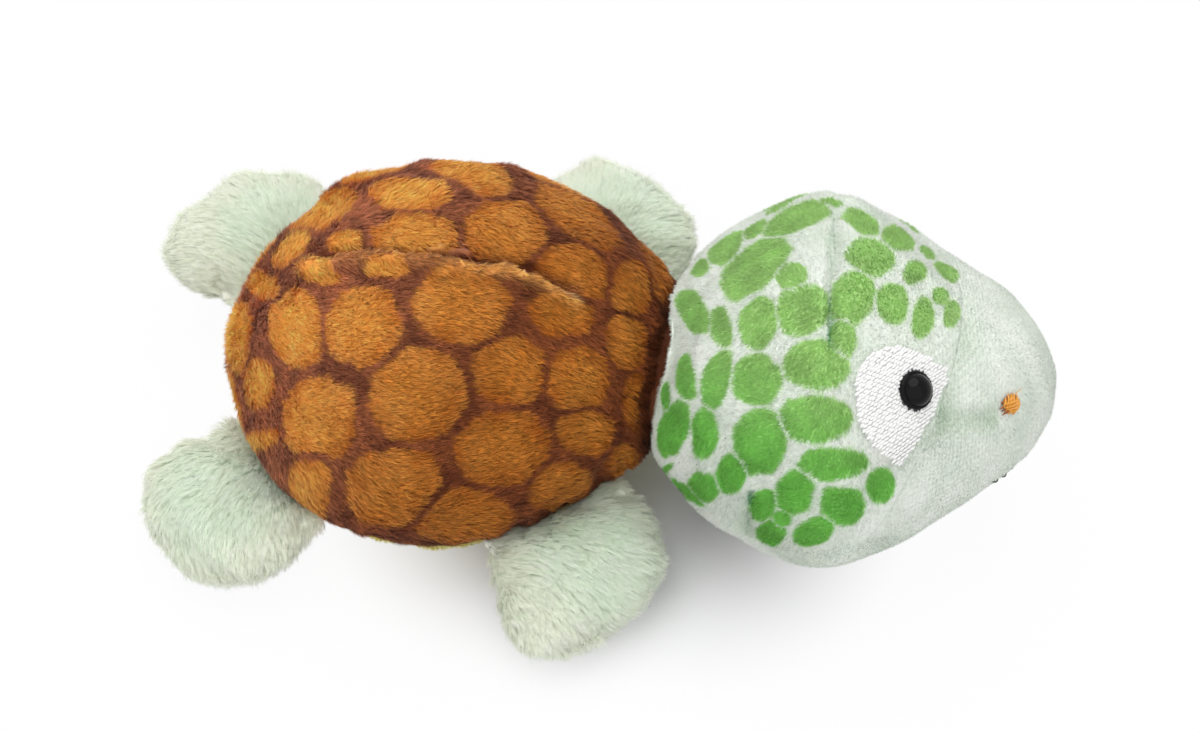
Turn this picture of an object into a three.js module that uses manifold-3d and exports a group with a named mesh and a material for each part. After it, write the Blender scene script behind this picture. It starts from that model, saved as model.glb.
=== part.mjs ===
// A small plush turtle that lies on its belly. Millimetres, +X towards the head, +Y to its left, +Z up.
// The origin is the middle of the patch that the belly rests on.

import * as THREE from 'three';
import { mergeVertices } from 'three/addons/utils/BufferGeometryUtils.js';
import Module from 'manifold-3d';

const wasm = await Module();
wasm.setup();

// Fabric, thread and clearances
const plushThickness = 1.2;
const velourThickness = 0.9;
const threadThickness = 0.6;
const seamGap = 0.3;
const cutOverrun = 2;

// Body: a domed shell on a flatter belly, joined by a seam low on the sides
const bodyHalfLength = 36.5;
const bodyHalfWidth = 34.8;
const widestLevel = 20;
const shellRise = 29.5;
const bellyPressedDepth = 1.6;
const sideSeamLevel = 11;

// Seen from above, the body draws in towards its front right, by a share of its reach
const drawnInShare = 0.1;
const drawnInAround = THREE.MathUtils.degToRad(-50);
const drawnInSpread = THREE.MathUtils.degToRad(40);

// A fold runs along the top of the shell: a valley, and a rolled lip beside it on the right.
// The places along it are shares of the body's half-length and half-width.
const foldPlaceShares = [
  [-0.62, -0.09], [-0.45, -0.11], [-0.29, -0.105], [-0.12, -0.105], [0.05, -0.11], [0.17, -0.14],
  [0.28, -0.16], [0.4, -0.17], [0.56, -0.14],
];
const foldValleyRadius = 1.7;
const foldValleyOutShare = 0.55;
const foldLipRadius = 2;
const foldLipInShare = 0.62;
const foldLipAside = 2.5;

// Head: an egg with a blunt snout, turned and leaning a little as it lies
const headLength = 65.5;
const headHalfWidth = 32.3;
const headHalfHeight = 27.8;
const headPressedDepth = 0.7;
const headTurn = THREE.MathUtils.degToRad(8);
const headLean = THREE.MathUtils.degToRad(-22);
const headAside = -2;
const napeIntoShell = 6.5;
const fullestShare = 0.45;
const headOutlineShares = [
  [0, 0], [0.015, 0.3], [0.065, 0.54], [0.16, 0.75], [0.31, 0.92], [fullestShare, 1], [0.6, 0.9],
  [0.715, 0.745], [0.815, 0.61], [0.91, 0.44], [0.975, 0.23], [1, 0],
];

// The seam between the printed head fabric and the plain face fabric leans forward at the top.
// Places along the head are shares of its length, from the nape to the snout.
const faceSeamShare = 0.618;
const faceSeamLean = THREE.MathUtils.degToRad(27);

// Neck: a stuffed sleeve, round about the point that the head moves about
const neckRadius = 10;
const neckHalfLength = 6.5;
const neckLevel = 21;
const neckTurn = THREE.MathUtils.degToRad(12);
const neckLift = THREE.MathUtils.degToRad(14);
const neckBow = THREE.MathUtils.degToRad(8);

// Eyes: an embroidered patch with a stemmed bead, held by a washer inside the head
const eyeShare = 0.588;
const eyeAngle = THREE.MathUtils.degToRad(23.5);
const eyePatchHalfLength = 9;
const eyePatchHalfWidth = 7.7;
const eyePatchShares = [
  [-0.33, 0.97], [0.3, 0.93], [0.88, 0.6], [0.85, 0.3], [0.45, -0.35], [0.03, -0.99],
  [-0.5, -0.8], [-0.95, -0.25], [-0.87, 0.52],
];
const beadRadius = 2.9;
const beadHeight = 2.3;
const beadForward = 2.1;
const beadUp = 2.8;
const stemRadius = 0.8;
const stemLength = 5;
const washerRadius = 3.6;
const washerThickness = 1;
const washerDepth = 3;

// Nostrils and mouth, worked in thread on the face fabric
const nostrilShare = 0.855;
const nostrilAngle = THREE.MathUtils.degToRad(18);
const nostrilHalfLength = 1.8;
const nostrilHalfWidth = 1.4;
const mouthThreadRadius = 0.3;
const mouthStart = { alongShare: 0.84, angle: THREE.MathUtils.degToRad(-42) };
const mouthMiddle = { alongShare: 0.916, angle: THREE.MathUtils.degToRad(-90) };

// Flippers: four padded mitts, each sewn along a straight root into the side seam
const flipperLength = 26;
const flipperHalfWidth = 13.2;
const flipperHalfThickness = 5;
const flipperRootGap = 0.4;
const thinnestForm = 0.1;
const flipperOutlineShares = [
  [0, 0.72, 0.06], [0.05, 0.76, 0.26], [0.16, 0.84, 0.5], [0.34, 0.96, 0.84], [0.55, 1, 1],
  [0.74, 0.9, 0.92], [0.89, 0.66, 0.7], [0.97, 0.34, 0.4], [1, 0, 0],
];
const flippers = [
  { name: 'front_right', around: -50.5, lengthShare: 0.77, sweepShare: -0.19, tilt: -13 },
  { name: 'rear_right', around: -141, lengthShare: 0.83, sweepShare: -0.08, tilt: -13 },
  { name: 'front_left', around: 60, lengthShare: 0.865, sweepShare: 0.04, tilt: 9 },
  { name: 'rear_left', around: 144, lengthShare: 1, sweepShare: 0.08, tilt: 12 },
];

// How finely the rounded forms are faceted
const bodySides = 32;
const bodyLevels = 14;
const headSides = 28;
const headStations = 16;
const flipperSides = 18;
const flipperStations = 10;
const coarser = 0.65;
const foldSteps = 12;
const foldSides = 8;
const patchPoints = 20;
const mouthSteps = 8;
const roundSides = 12;
const surfaceStepShare = 0.002;
const searchShare = 1e-6;

// Worked out from the sizes above
const headBottom = Math.hypot(headHalfWidth * Math.sin(headLean), headHalfHeight * Math.cos(headLean));
const headLevel = headBottom - headPressedDepth;
const napeX = bodyHalfLength - napeIntoShell;
const headX = napeX + fullestShare * headLength;
const neckCentre = new THREE.Vector3(bodyHalfLength - plushThickness, 0, neckLevel);
const wholeReach = bodyHalfLength + headLength + cutOverrun;

const materials = {
  shellPlush: { color: 0xb8772e, roughness: 0.95 },
  bellyPlush: { color: 0xe6d36a, roughness: 0.95 },
  mintPlush: { color: 0xd3e8d3, roughness: 0.95 },
  headVelour: { color: 0x7fbf5c, roughness: 0.9 },
  faceVelour: { color: 0xd9e6d8, roughness: 0.9 },
  whiteThread: { color: 0xf1f0ee, roughness: 0.6 },
  goldThread: { color: 0xd9992a, roughness: 0.6 },
  blackThread: { color: 0x1d1d22, roughness: 0.7 },
  blackBead: { color: 0x0c0c0e, roughness: 0.12 },
  washerPlastic: { color: 0xe9e6dc, roughness: 0.45 },
  stuffing: { color: 0xf4f3f0, roughness: 1 },
};

function toSolid(geometry) {
  const bare = geometry.clone();
  bare.deleteAttribute('normal');
  bare.deleteAttribute('uv');
  const merged = mergeVertices(bare);
  return new wasm.Manifold(new wasm.Mesh({
    numProp: 3,
    vertProperties: new Float32Array(merged.attributes.position.array),
    triVerts: new Uint32Array(merged.index.array),
  }));
}

function toMesh(name, solid, look) {
  const { vertProperties, triVerts } = solid.getMesh();
  const geometry = new THREE.BufferGeometry();
  geometry.setAttribute('position', new THREE.BufferAttribute(new Float32Array(vertProperties), 3));
  geometry.setIndex(new THREE.BufferAttribute(new Uint32Array(triVerts), 1));
  geometry.computeVertexNormals();
  const mesh = new THREE.Mesh(geometry, new THREE.MeshStandardMaterial({ metalness: 0, ...materials[look] }));
  mesh.name = name;
  return mesh;
}

// Joins a row of rings into a closed form that ends in a point at each end
function closeRings(start, rings, end) {
  const sides = rings[0].length;
  const points = [start, ...rings.flat(), end];
  const last = points.length - 1;
  const at = (ring, side) => 1 + ring * sides + (side % sides);
  const triangles = [];
  for (let side = 0; side < sides; side++) {
    triangles.push(0, at(0, side + 1), at(0, side));
    for (let ring = 0; ring < rings.length - 1; ring++) {
      triangles.push(at(ring, side), at(ring, side + 1), at(ring + 1, side + 1));
      triangles.push(at(ring, side), at(ring + 1, side + 1), at(ring + 1, side));
    }
    triangles.push(last, at(rings.length - 1, side), at(rings.length - 1, side + 1));
  }
  const geometry = new THREE.BufferGeometry().setFromPoints(points);
  geometry.setIndex(triangles);
  return toSolid(geometry);
}

function ringAngles(sides) {
  return Array.from({ length: sides }, (_, side) => (2 * Math.PI * side) / sides);
}

// A box with its lowest corner and its size given, used to cut along a plane
function block(corner, size) {
  const box = new THREE.BoxGeometry(size.x, size.y, size.z);
  box.translate(corner.x + size.x / 2, corner.y + size.y / 2, corner.z + size.z / 2);
  return box;
}

function ball(radius, centre) {
  const sphere = new THREE.SphereGeometry(radius, 2 * roundSides, roundSides);
  sphere.translate(centre.x, centre.y, centre.z);
  return toSolid(sphere);
}

// Body

function reachShare(angle) {
  const off = Math.atan2(Math.sin(angle - drawnInAround), Math.cos(angle - drawnInAround));
  return 1 - drawnInShare * Math.exp(-((off / drawnInSpread) ** 2));
}

function bodyForm(inset, fineness) {
  const sides = Math.round(bodySides * fineness);
  const levels = Math.round(bodyLevels * fineness);
  const drop = widestLevel + bellyPressedDepth - inset;
  const rise = shellRise - inset;
  const rings = [];
  for (let level = 1; level < levels; level++) {
    const slope = Math.PI * (level / levels - 0.5);
    const height = widestLevel + Math.sin(slope) * (slope < 0 ? drop : rise);
    rings.push(ringAngles(sides).map((angle) => new THREE.Vector3(
      (bodyHalfLength - inset) * Math.cos(slope) * Math.cos(angle) * reachShare(angle),
      (bodyHalfWidth - inset) * Math.cos(slope) * Math.sin(angle) * reachShare(angle),
      height,
    )));
  }
  const lowest = new THREE.Vector3(0, 0, widestLevel - drop);
  const highest = new THREE.Vector3(0, 0, widestLevel + rise);
  return closeRings(lowest, rings, highest);
}

function everythingBetween(low, high) {
  const corner = new THREE.Vector3(-wholeReach, -wholeReach, low);
  return toSolid(block(corner, new THREE.Vector3(2 * wholeReach, 2 * wholeReach, high - low)));
}

// A roll that follows the fold at a height above the shell, set aside from it, and thins away at its ends
function foldRoll(radius, height, aside) {
  const size = new THREE.Vector3(bodyHalfLength, bodyHalfWidth, shellRise);
  const path = new THREE.CatmullRomCurve3(foldPlaceShares.map(([along, acrossValley]) => {
    const across = acrossValley - aside / bodyHalfWidth;
    const outShare = Math.hypot(along, across) / reachShare(Math.atan2(across, along));
    const place = new THREE.Vector3(along, across, Math.sqrt(1 - outShare * outShare));
    const out = place.clone().divide(size).normalize();
    place.multiply(size).addScaledVector(out, height);
    place.z += widestLevel;
    return place;
  }));
  const { normals, binormals } = path.computeFrenetFrames(foldSteps);
  const rings = [];
  for (let step = 1; step < foldSteps; step++) {
    const reach = radius * Math.sqrt(Math.sin((Math.PI * step) / foldSteps));
    const middle = path.getPointAt(step / foldSteps);
    rings.push(ringAngles(foldSides).map((angle) => (
      middle.clone().addScaledVector(normals[step], reach * Math.cos(angle))
        .addScaledVector(binormals[step], reach * Math.sin(angle))
    )));
  }
  return closeRings(path.getPoint(0), rings, path.getPoint(1));
}

function makeBody() {
  const neckHole = ball(neckRadius + seamGap, neckCentre);
  const pressed = (inset, fineness) => (
    bodyForm(inset, fineness).intersect(everythingBetween(inset, wholeReach))
  );
  const lip = foldRoll(foldLipRadius, -foldLipRadius * foldLipInShare, foldLipAside);
  const valley = foldRoll(foldValleyRadius, foldValleyRadius * foldValleyOutShare, 0);
  const folded = pressed(0, 1).add(lip).subtract(valley);
  const fabric = folded.subtract(pressed(plushThickness, coarser)).subtract(neckHole);
  const stuffing = pressed(plushThickness + seamGap, coarser).subtract(neckHole);
  const group = new THREE.Group();
  const shell = fabric.intersect(everythingBetween(sideSeamLevel + seamGap / 2, wholeReach));
  const belly = fabric.intersect(everythingBetween(0, sideSeamLevel - seamGap / 2));
  group.add(toMesh('shell_cover', shell, 'shellPlush'));
  group.add(toMesh('belly_cover', belly, 'bellyPlush'));
  group.add(toMesh('body_stuffing', stuffing, 'stuffing'));
  return group;
}

// Neck

function makeNeck() {
  const end = new THREE.Vector3(neckHalfLength, neckRadius + cutOverrun, neckRadius + cutOverrun);
  const between = toSolid(block(neckCentre.clone().sub(end), end.clone().multiplyScalar(2)));
  const hollow = ball(neckRadius - velourThickness, neckCentre);
  const sleeve = ball(neckRadius, neckCentre).subtract(hollow).intersect(between);
  const group = new THREE.Group();
  group.add(toMesh('neck_sleeve', sleeve, 'headVelour'));
  group.add(toMesh('neck_stuffing', ball(neckRadius - velourThickness - seamGap, neckCentre), 'stuffing'));
  return group;
}

// Head, modelled about the middle of its fullest section with +X to the snout

const headOutline = new THREE.SplineCurve(headOutlineShares.map((row) => new THREE.Vector2(...row)));

function headSection(alongShare, outShare, angle, inset) {
  const start = -fullestShare * headLength + inset;
  return new THREE.Vector3(
    start + alongShare * (headLength - 2 * inset),
    (headHalfWidth - inset) * outShare * Math.cos(angle),
    (headHalfHeight - inset) * outShare * Math.sin(angle),
  );
}

function headForm(inset, fineness) {
  const sides = Math.round(headSides * fineness);
  const stations = Math.round(headStations * fineness);
  const rings = [];
  for (let station = 1; station < stations; station++) {
    const { x: along, y: out } = headOutline.getPointAt(station / stations);
    rings.push(ringAngles(sides).map((angle) => headSection(along, out, angle, inset)));
  }
  return closeRings(headSection(0, 0, 0, inset), rings, headSection(1, 0, 0, inset));
}

// The point of the head's surface at a share of its length, at an angle up from its left side
function onHead(alongShare, angle, outward = 0) {
  let low = 0;
  let high = 1;
  while (high - low > searchShare) {
    const middle = (low + high) / 2;
    if (headOutline.getPoint(middle).x < alongShare) low = middle;
    else high = middle;
  }
  return headSection(alongShare, headOutline.getPoint(low).y, angle, -outward);
}

// A frame on the head's surface: x forward, y up round the head, z out of the fabric
function headFrame(alongShare, angle, outward) {
  const turn = (surfaceStepShare * headLength) / headHalfWidth;
  const upwards = Math.cos(angle) < 0 ? -turn : turn;
  const ahead = onHead(alongShare + surfaceStepShare, angle);
  const forward = ahead.sub(onHead(alongShare - surfaceStepShare, angle)).normalize();
  const up = onHead(alongShare, angle + upwards).sub(onHead(alongShare, angle - upwards)).normalize();
  const out = forward.clone().cross(up).normalize();
  if (out.dot(onHead(alongShare, angle)) < 0) out.negate();
  const levelUp = out.clone().cross(forward).normalize();
  const place = onHead(alongShare, angle).addScaledVector(out, outward);
  return new THREE.Matrix4().makeBasis(forward, levelUp, out).setPosition(place);
}

// Everything behind the face seam, as a cutting block
function behindFaceSeam(shift) {
  const reach = 2 * headLength;
  const size = new THREE.Vector3(reach, reach, reach);
  const cut = block(new THREE.Vector3(-reach, -reach / 2, -reach / 2), size);
  cut.rotateY(faceSeamLean);
  cut.translate((faceSeamShare - fullestShare) * headLength + shift, 0, 0);
  return toSolid(cut);
}

// All the room that the body takes up behind the head as the head turns and nods about the neck
function bodyInHead(toHead, clearance) {
  const body = bodyForm(-clearance, 1);
  const away = new THREE.Matrix4().makeTranslation(neckCentre.clone().negate());
  const back = new THREE.Matrix4().makeTranslation(neckCentre);
  const bent = [neckBow, -neckLift];
  const limits = [[0, 0], ...bent.map((nod) => [neckTurn, nod]), ...bent.map((nod) => [-neckTurn, nod])];
  const poses = limits.map(([turn, nod]) => {
    const turning = new THREE.Euler(0, nod, turn, 'ZYX');
    const moved = new THREE.Matrix4().makeRotationFromEuler(turning).invert();
    const { elements } = toHead.clone().multiply(back).multiply(moved).multiply(away);
    return body.transform(elements);
  });
  return wasm.Manifold.union(poses);
}

function placed(geometry, frame) {
  return toSolid(geometry.clone().applyMatrix4(frame));
}

// Disc or cylinder that stands on the frame's own plane, from one height to another
function standing(radius, low, high) {
  const post = new THREE.CylinderGeometry(radius, radius, high - low, roundSides);
  post.rotateX(Math.PI / 2);
  post.translate(0, 0, (low + high) / 2);
  return post;
}

function eyePatch(frame, skin) {
  const points = eyePatchShares.map(([forward, up]) => (
    new THREE.Vector2(forward * eyePatchHalfWidth, up * eyePatchHalfLength)
  ));
  const outline = new THREE.CatmullRomCurve3(points.map(({ x, y }) => new THREE.Vector3(x, y, 0)), true);
  const shape = new THREE.Shape(outline.getPoints(patchPoints).map(({ x, y }) => new THREE.Vector2(x, y)));
  const prism = new THREE.ExtrudeGeometry(shape, { depth: eyePatchHalfLength, bevelEnabled: false });
  prism.translate(0, 0, -eyePatchHalfLength / 2);
  return skin.intersect(placed(prism, frame));
}

function beadGeometry(base) {
  const profile = [new THREE.Vector2(0, 0)];
  for (let step = 0; step <= roundSides / 4; step++) {
    const slope = (Math.PI / 2) * (step / (roundSides / 4));
    profile.push(new THREE.Vector2(beadRadius * Math.cos(slope), beadHeight * Math.sin(slope)));
  }
  profile[profile.length - 1].x = 0;
  const bead = new THREE.LatheGeometry(profile, roundSides);
  bead.rotateX(Math.PI / 2);
  bead.translate(0, 0, base);
  return bead;
}

function makeHead() {
  const tilted = new THREE.Group();
  const turned = new THREE.Group();
  tilted.rotation.x = headLean;
  turned.rotation.z = headTurn;
  turned.position.set(headX, headAside, headLevel);
  turned.add(tilted);
  turned.updateMatrixWorld(true);

  const neckHole = ball(neckRadius + seamGap, tilted.worldToLocal(neckCentre.clone()));
  const toHead = tilted.matrixWorld.clone().invert();
  const aboveFloor = (level) => everythingBetween(level, wholeReach).transform(toHead.elements);
  const pressed = (inset, fineness) => (
    headForm(inset, fineness).intersect(aboveFloor(inset)).subtract(bodyInHead(toHead, inset + seamGap))
  );
  const fabric = pressed(0, 1).subtract(pressed(velourThickness, coarser)).subtract(neckHole);
  let headCover = fabric.intersect(behindFaceSeam(-seamGap / 2));
  const faceCover = fabric.subtract(behindFaceSeam(seamGap / 2));
  let stuffing = pressed(velourThickness + seamGap, coarser).subtract(neckHole);
  const patchSkin = headForm(-seamGap - threadThickness, 1).subtract(headForm(-seamGap, 1));

  for (const [sideName, side, angle] of [['left', 1, eyeAngle], ['right', -1, Math.PI - eyeAngle]]) {
    const patch = eyePatch(headFrame(eyeShare, angle, 0), patchSkin);
    const beadAngle = angle + (side * beadUp) / headHalfHeight;
    const frame = headFrame(eyeShare + beadForward / headLength, beadAngle, 0);
    const stemHole = placed(standing(stemRadius + seamGap, -stemLength - seamGap, beadHeight), frame);
    const washerLow = -washerDepth - washerThickness;
    const washerRoom = placed(
      standing(washerRadius + seamGap, washerLow - seamGap, -washerDepth + seamGap), frame,
    );
    const curveUnderBead = (beadRadius * beadRadius) / headHalfWidth / 2;
    const beadBase = threadThickness + 2 * seamGap + curveUnderBead;
    const stem = placed(standing(stemRadius, -stemLength, beadBase + beadHeight / 2), frame);
    const bead = placed(beadGeometry(beadBase), frame).add(stem);
    const washer = placed(standing(washerRadius, washerLow, -washerDepth), frame).subtract(stemHole);

    tilted.add(toMesh(`eye_patch_${sideName}`, patch.subtract(stemHole), 'whiteThread'));
    tilted.add(toMesh(`eye_bead_${sideName}`, bead, 'blackBead'));
    tilted.add(toMesh(`eye_washer_${sideName}`, washer, 'washerPlastic'));
    headCover = headCover.subtract(stemHole);
    stuffing = stuffing.subtract(stemHole).subtract(washerRoom);

    const nostril = new THREE.SphereGeometry(1, roundSides, roundSides / 2);
    nostril.scale(nostrilHalfWidth, nostrilHalfLength, threadThickness);
    const nostrilTurn = side > 0 ? nostrilAngle : Math.PI - nostrilAngle;
    const nostrilFrame = headFrame(nostrilShare, nostrilTurn, threadThickness + seamGap);
    tilted.add(toMesh(`nostril_${sideName}`, placed(nostril, nostrilFrame), 'goldThread'));
  }

  tilted.add(toMesh('head_cover', headCover, 'headVelour'));
  tilted.add(toMesh('face_cover', faceCover, 'faceVelour'));
  tilted.add(toMesh('head_stuffing', stuffing, 'stuffing'));
  tilted.add(toMesh('mouth_stitch', mouthStitch(), 'blackThread'));
  return turned;
}

// A line of thread under the snout, from one corner of the mouth to the other
function mouthStitch() {
  const path = [];
  for (let step = 0; step <= mouthSteps; step++) {
    const share = (2 * step) / mouthSteps - 1;
    const backwards = (mouthStart.alongShare - mouthMiddle.alongShare) * share * share;
    const angle = mouthMiddle.angle + (mouthStart.angle - mouthMiddle.angle) * share;
    path.push(onHead(mouthMiddle.alongShare + backwards, angle, seamGap + 2 * mouthThreadRadius));
  }
  const section = new THREE.Shape(ringAngles(roundSides / 2).map((angle) => new THREE.Vector2(
    mouthThreadRadius * Math.cos(angle),
    mouthThreadRadius * Math.sin(angle),
  )));
  const extrudePath = new THREE.CatmullRomCurve3(path);
  const settings = { steps: 2 * mouthSteps, bevelEnabled: false, extrudePath };
  return toSolid(new THREE.ExtrudeGeometry(section, settings));
}

// Flippers, modelled along +X from the middle of their root, with the hinge line on Y

function flipperForm({ lengthShare, sweepShare }, inset, fineness) {
  const length = lengthShare * flipperLength;
  const sweep = sweepShare * flipperLength;
  const sides = Math.round(flipperSides * fineness);
  const stations = Math.round(flipperStations * fineness);
  const outline = new THREE.CatmullRomCurve3(flipperOutlineShares.map((row) => new THREE.Vector3(...row)));
  const place = (along, out, angle, thick) => new THREE.Vector3(
    inset + along * (length - 2 * inset),
    sweep * along * along + (flipperHalfWidth - inset) * out * Math.cos(angle),
    Math.max(flipperHalfThickness * thick - inset, thinnestForm) * Math.sin(angle),
  );
  const rings = [];
  for (let station = 0; station < stations; station++) {
    const { x: along, y: out, z: thick } = outline.getPointAt(station / stations);
    rings.push(ringAngles(sides).map((angle) => place(along, out, angle, thick)));
  }
  return closeRings(place(0, 0, 0, 0), rings, place(1, 0, 0, 0));
}

function makeFlipper(flipper) {
  const reach = flipperLength + cutOverrun;
  const size = new THREE.Vector3(2 * reach, 2 * reach, reach);
  const half = block(new THREE.Vector3(-reach, -reach, seamGap / 2), size);
  const above = toSolid(half);
  const below = toSolid(half.rotateX(Math.PI));
  const fabric = flipperForm(flipper, 0, 1).subtract(flipperForm(flipper, plushThickness, coarser));
  const stuffing = flipperForm(flipper, plushThickness + seamGap, coarser);
  const group = new THREE.Group();
  group.add(toMesh(`${flipper.name}_flipper_top`, fabric.intersect(above), 'mintPlush'));
  group.add(toMesh(`${flipper.name}_flipper_underside`, fabric.intersect(below), 'mintPlush'));
  group.add(toMesh(`${flipper.name}_flipper_stuffing`, stuffing, 'stuffing'));

  const { degToRad } = THREE.MathUtils;
  const sunk = (widestLevel - sideSeamLevel) / (widestLevel + bellyPressedDepth);
  const seamShare = Math.sqrt(1 - sunk * sunk);
  const seamPoint = (around) => new THREE.Vector3(
    bodyHalfLength * seamShare * Math.cos(around) * reachShare(around),
    bodyHalfWidth * seamShare * Math.sin(around) * reachShare(around),
    sideSeamLevel,
  );
  const around = degToRad(flipper.around);
  const onwards = seamPoint(around + surfaceStepShare).sub(seamPoint(around - surfaceStepShare));
  const outwards = new THREE.Vector3(onwards.y, -onwards.x, 0).normalize();
  group.rotation.set(0, -degToRad(flipper.tilt), Math.atan2(outwards.y, outwards.x), 'ZYX');
  group.position.copy(seamPoint(around).addScaledVector(outwards, flipperRootGap));
  return group;
}

const turtle = new THREE.Group();
turtle.add(makeBody(), makeNeck(), makeHead(), ...flippers.map(makeFlipper));
export default turtle;
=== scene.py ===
import math

import bmesh
import bpy
import numpy as np
from mathutils import Matrix, Vector
from mathutils.bvhtree import BVHTree
from mathutils.kdtree import KDTree


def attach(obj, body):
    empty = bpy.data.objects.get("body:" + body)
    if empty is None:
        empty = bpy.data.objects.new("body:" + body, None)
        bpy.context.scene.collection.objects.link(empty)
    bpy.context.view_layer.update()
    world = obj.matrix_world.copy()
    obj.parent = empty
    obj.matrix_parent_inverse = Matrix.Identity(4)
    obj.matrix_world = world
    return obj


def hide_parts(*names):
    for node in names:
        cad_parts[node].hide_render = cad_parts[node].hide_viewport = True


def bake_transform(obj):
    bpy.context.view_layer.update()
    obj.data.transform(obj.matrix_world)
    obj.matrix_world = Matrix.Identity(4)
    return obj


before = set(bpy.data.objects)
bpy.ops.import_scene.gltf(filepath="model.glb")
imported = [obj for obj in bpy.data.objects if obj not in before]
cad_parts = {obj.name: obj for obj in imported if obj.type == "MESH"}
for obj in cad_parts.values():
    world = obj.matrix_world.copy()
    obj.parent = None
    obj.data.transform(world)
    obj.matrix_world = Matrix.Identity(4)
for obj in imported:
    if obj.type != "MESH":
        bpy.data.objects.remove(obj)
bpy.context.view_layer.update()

# Shapes are worked out in millimetres, and meshes are written in metres.
mm = 0.001

# The print and the seams of the seen side are placed through this view, so it comes first.
photograph = {
    "wide": 1200,
    "high": 732,
    "azimuth": 8,
    "elevation": 52,
    "away": 450,
    "millimetresPerPixel": 0.172,
    "floorPatchAt": (461, 432),  # where the middle of the patch that the belly rests on lies
}


def viewAxes():
    a, e = math.radians(photograph["azimuth"]), math.radians(photograph["elevation"])
    back = np.array([math.sin(a) * math.cos(e), -math.cos(a) * math.cos(e), math.sin(e)])
    right = np.array([math.cos(a), math.sin(a), 0.0])
    return right, np.cross(back, right), back


def pixelRays(pixels):
    right, up, back = viewAxes()
    fromMiddle = np.atleast_2d(np.asarray(pixels, float)) - (photograph["wide"] / 2, photograph["high"] / 2)
    fromMiddle *= photograph["millimetresPerPixel"] / photograph["away"]
    rays = fromMiddle[:, :1] * right - fromMiddle[:, 1:] * up - back
    return rays / np.linalg.norm(rays, axis=1, keepdims=True)


def eyePoint():
    ray = pixelRays(photograph["floorPatchAt"])[0]
    height = photograph["away"] * math.sin(math.radians(photograph["elevation"]))
    return ray * (height / ray[2])


def placeCamera():
    right, up, back = viewAxes()
    data = bpy.data.cameras.new("photographView")
    data.sensor_width = 36
    data.lens = 36 * photograph["away"] / photograph["millimetresPerPixel"] / photograph["wide"]
    data.clip_start, data.clip_end = 0.02, 10
    camera = bpy.data.objects.new("photographView", data)
    turned = Matrix((right, up, back)).transposed().to_4x4()
    camera.matrix_world = Matrix.Translation(Vector(eyePoint() * mm)) @ turned
    bpy.context.scene.collection.objects.link(camera)
    bpy.context.scene.camera = camera


placeCamera()
print("camera placed")


# Shader nodes

class Socket:
    def __init__(self, tree, socket):
        self.tree, self.socket = tree, socket

    def maths(self, operation, other):
        return self.tree.add("ShaderNodeMath", {"operation": operation}, {0: self, 1: other})

    def __add__(self, other):
        return self.maths("ADD", other)

    def __mul__(self, other):
        return self.maths("MULTIPLY", other)


class Shading:
    def __init__(self, owner):
        owner.use_nodes = True
        self.nodes, self.links = owner.node_tree.nodes, owner.node_tree.links

    def add(self, kind, settings, inputs, output=0):
        node = self.nodes.new(kind)
        for key, value in settings.items():
            setattr(node, key, value)
        for key, value in inputs.items():
            self.feed(node.inputs[key], value)
        return Socket(self, node.outputs[output])

    def feed(self, target, value):
        if isinstance(value, Socket):
            self.links.new(value.socket, target)
        else:
            target.default_value = value


class Finish(Shading):
    def __init__(self, name):
        self.material = bpy.data.materials.new(name)
        super().__init__(self.material)
        self.shader = self.nodes["Principled BSDF"]

    def set(self, **inputs):
        for key, value in inputs.items():
            self.feed(self.shader.inputs[shaderSockets[key]], value)
        return self.material

    def mixedWith(self, share, other):
        surface = Socket(self, self.shader.outputs["BSDF"])
        both = self.add("ShaderNodeMixShader", {}, {0: share, 1: surface, 2: other})
        self.feed(self.nodes["Material Output"].inputs["Surface"], both)

    def tint(self):
        return self.add("ShaderNodeAttribute", {"attribute_name": "tint"}, {}, "Color")

    def where(self):
        return self.add("ShaderNodeTexCoord", {}, {}, "Object")

    def noise(self, perMillimetre, detail=3, stretch=(1, 1, 1)):
        size = Vector(stretch) * (perMillimetre / mm)
        spread = self.add("ShaderNodeMapping", {}, {"Vector": self.where(), "Scale": size})
        return self.add("ShaderNodeTexNoise", {}, {"Vector": spread, "Scale": 1.0, "Detail": detail}, "Fac")

    def mix(self, share, first, second):
        return self.add("ShaderNodeMix", {"data_type": "RGBA"}, {0: share, 6: first, 7: second}, 2)

    def scaled(self, colour, by):
        return self.add("ShaderNodeVectorMath", {"operation": "SCALE"}, {0: colour, "Scale": by})

    def bump(self, height, depth):
        return self.add("ShaderNodeBump", {}, {"Height": height, "Distance": depth * mm, "Strength": 1.0})


shaderSockets = {
    "colour": "Base Color",
    "roughness": "Roughness",
    "normal": "Normal",
    "sheen": "Sheen Weight",
    "sheenRoughness": "Sheen Roughness",
    "shine": "Specular IOR Level",
}


def linear(colour):
    share = np.asarray(colour, float) / 255
    return np.where(share <= 0.04045, share / 12.92, ((share + 0.055) / 1.055) ** 2.4)


def opaque(colour):
    return (*linear(colour), 1.0)


def pileFinish(name, sheen, shine, through):
    finish = Finish(name)
    colour = finish.scaled(finish.tint(), finish.noise(1.6) * 0.16 + 0.92)
    # thin fibres pass some of the light on to those behind them
    finish.mixedWith(through, finish.add("ShaderNodeBsdfTranslucent", {}, {"Color": colour}))
    return finish.set(colour=colour, roughness=0.82, sheen=sheen, sheenRoughness=0.4, shine=shine)


def backingFinish(name, knit):
    finish = Finish(name)
    grain = finish.noise(knit, 4)
    loops = finish.noise(knit * 2.5, 2)
    colour = finish.scaled(finish.tint(), grain * 0.3 + 0.85)
    return finish.set(colour=colour, roughness=loops * 0.1 + 0.85, sheen=0.15, shine=0.2,
                      normal=finish.bump(grain + loops, 0.12))


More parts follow.
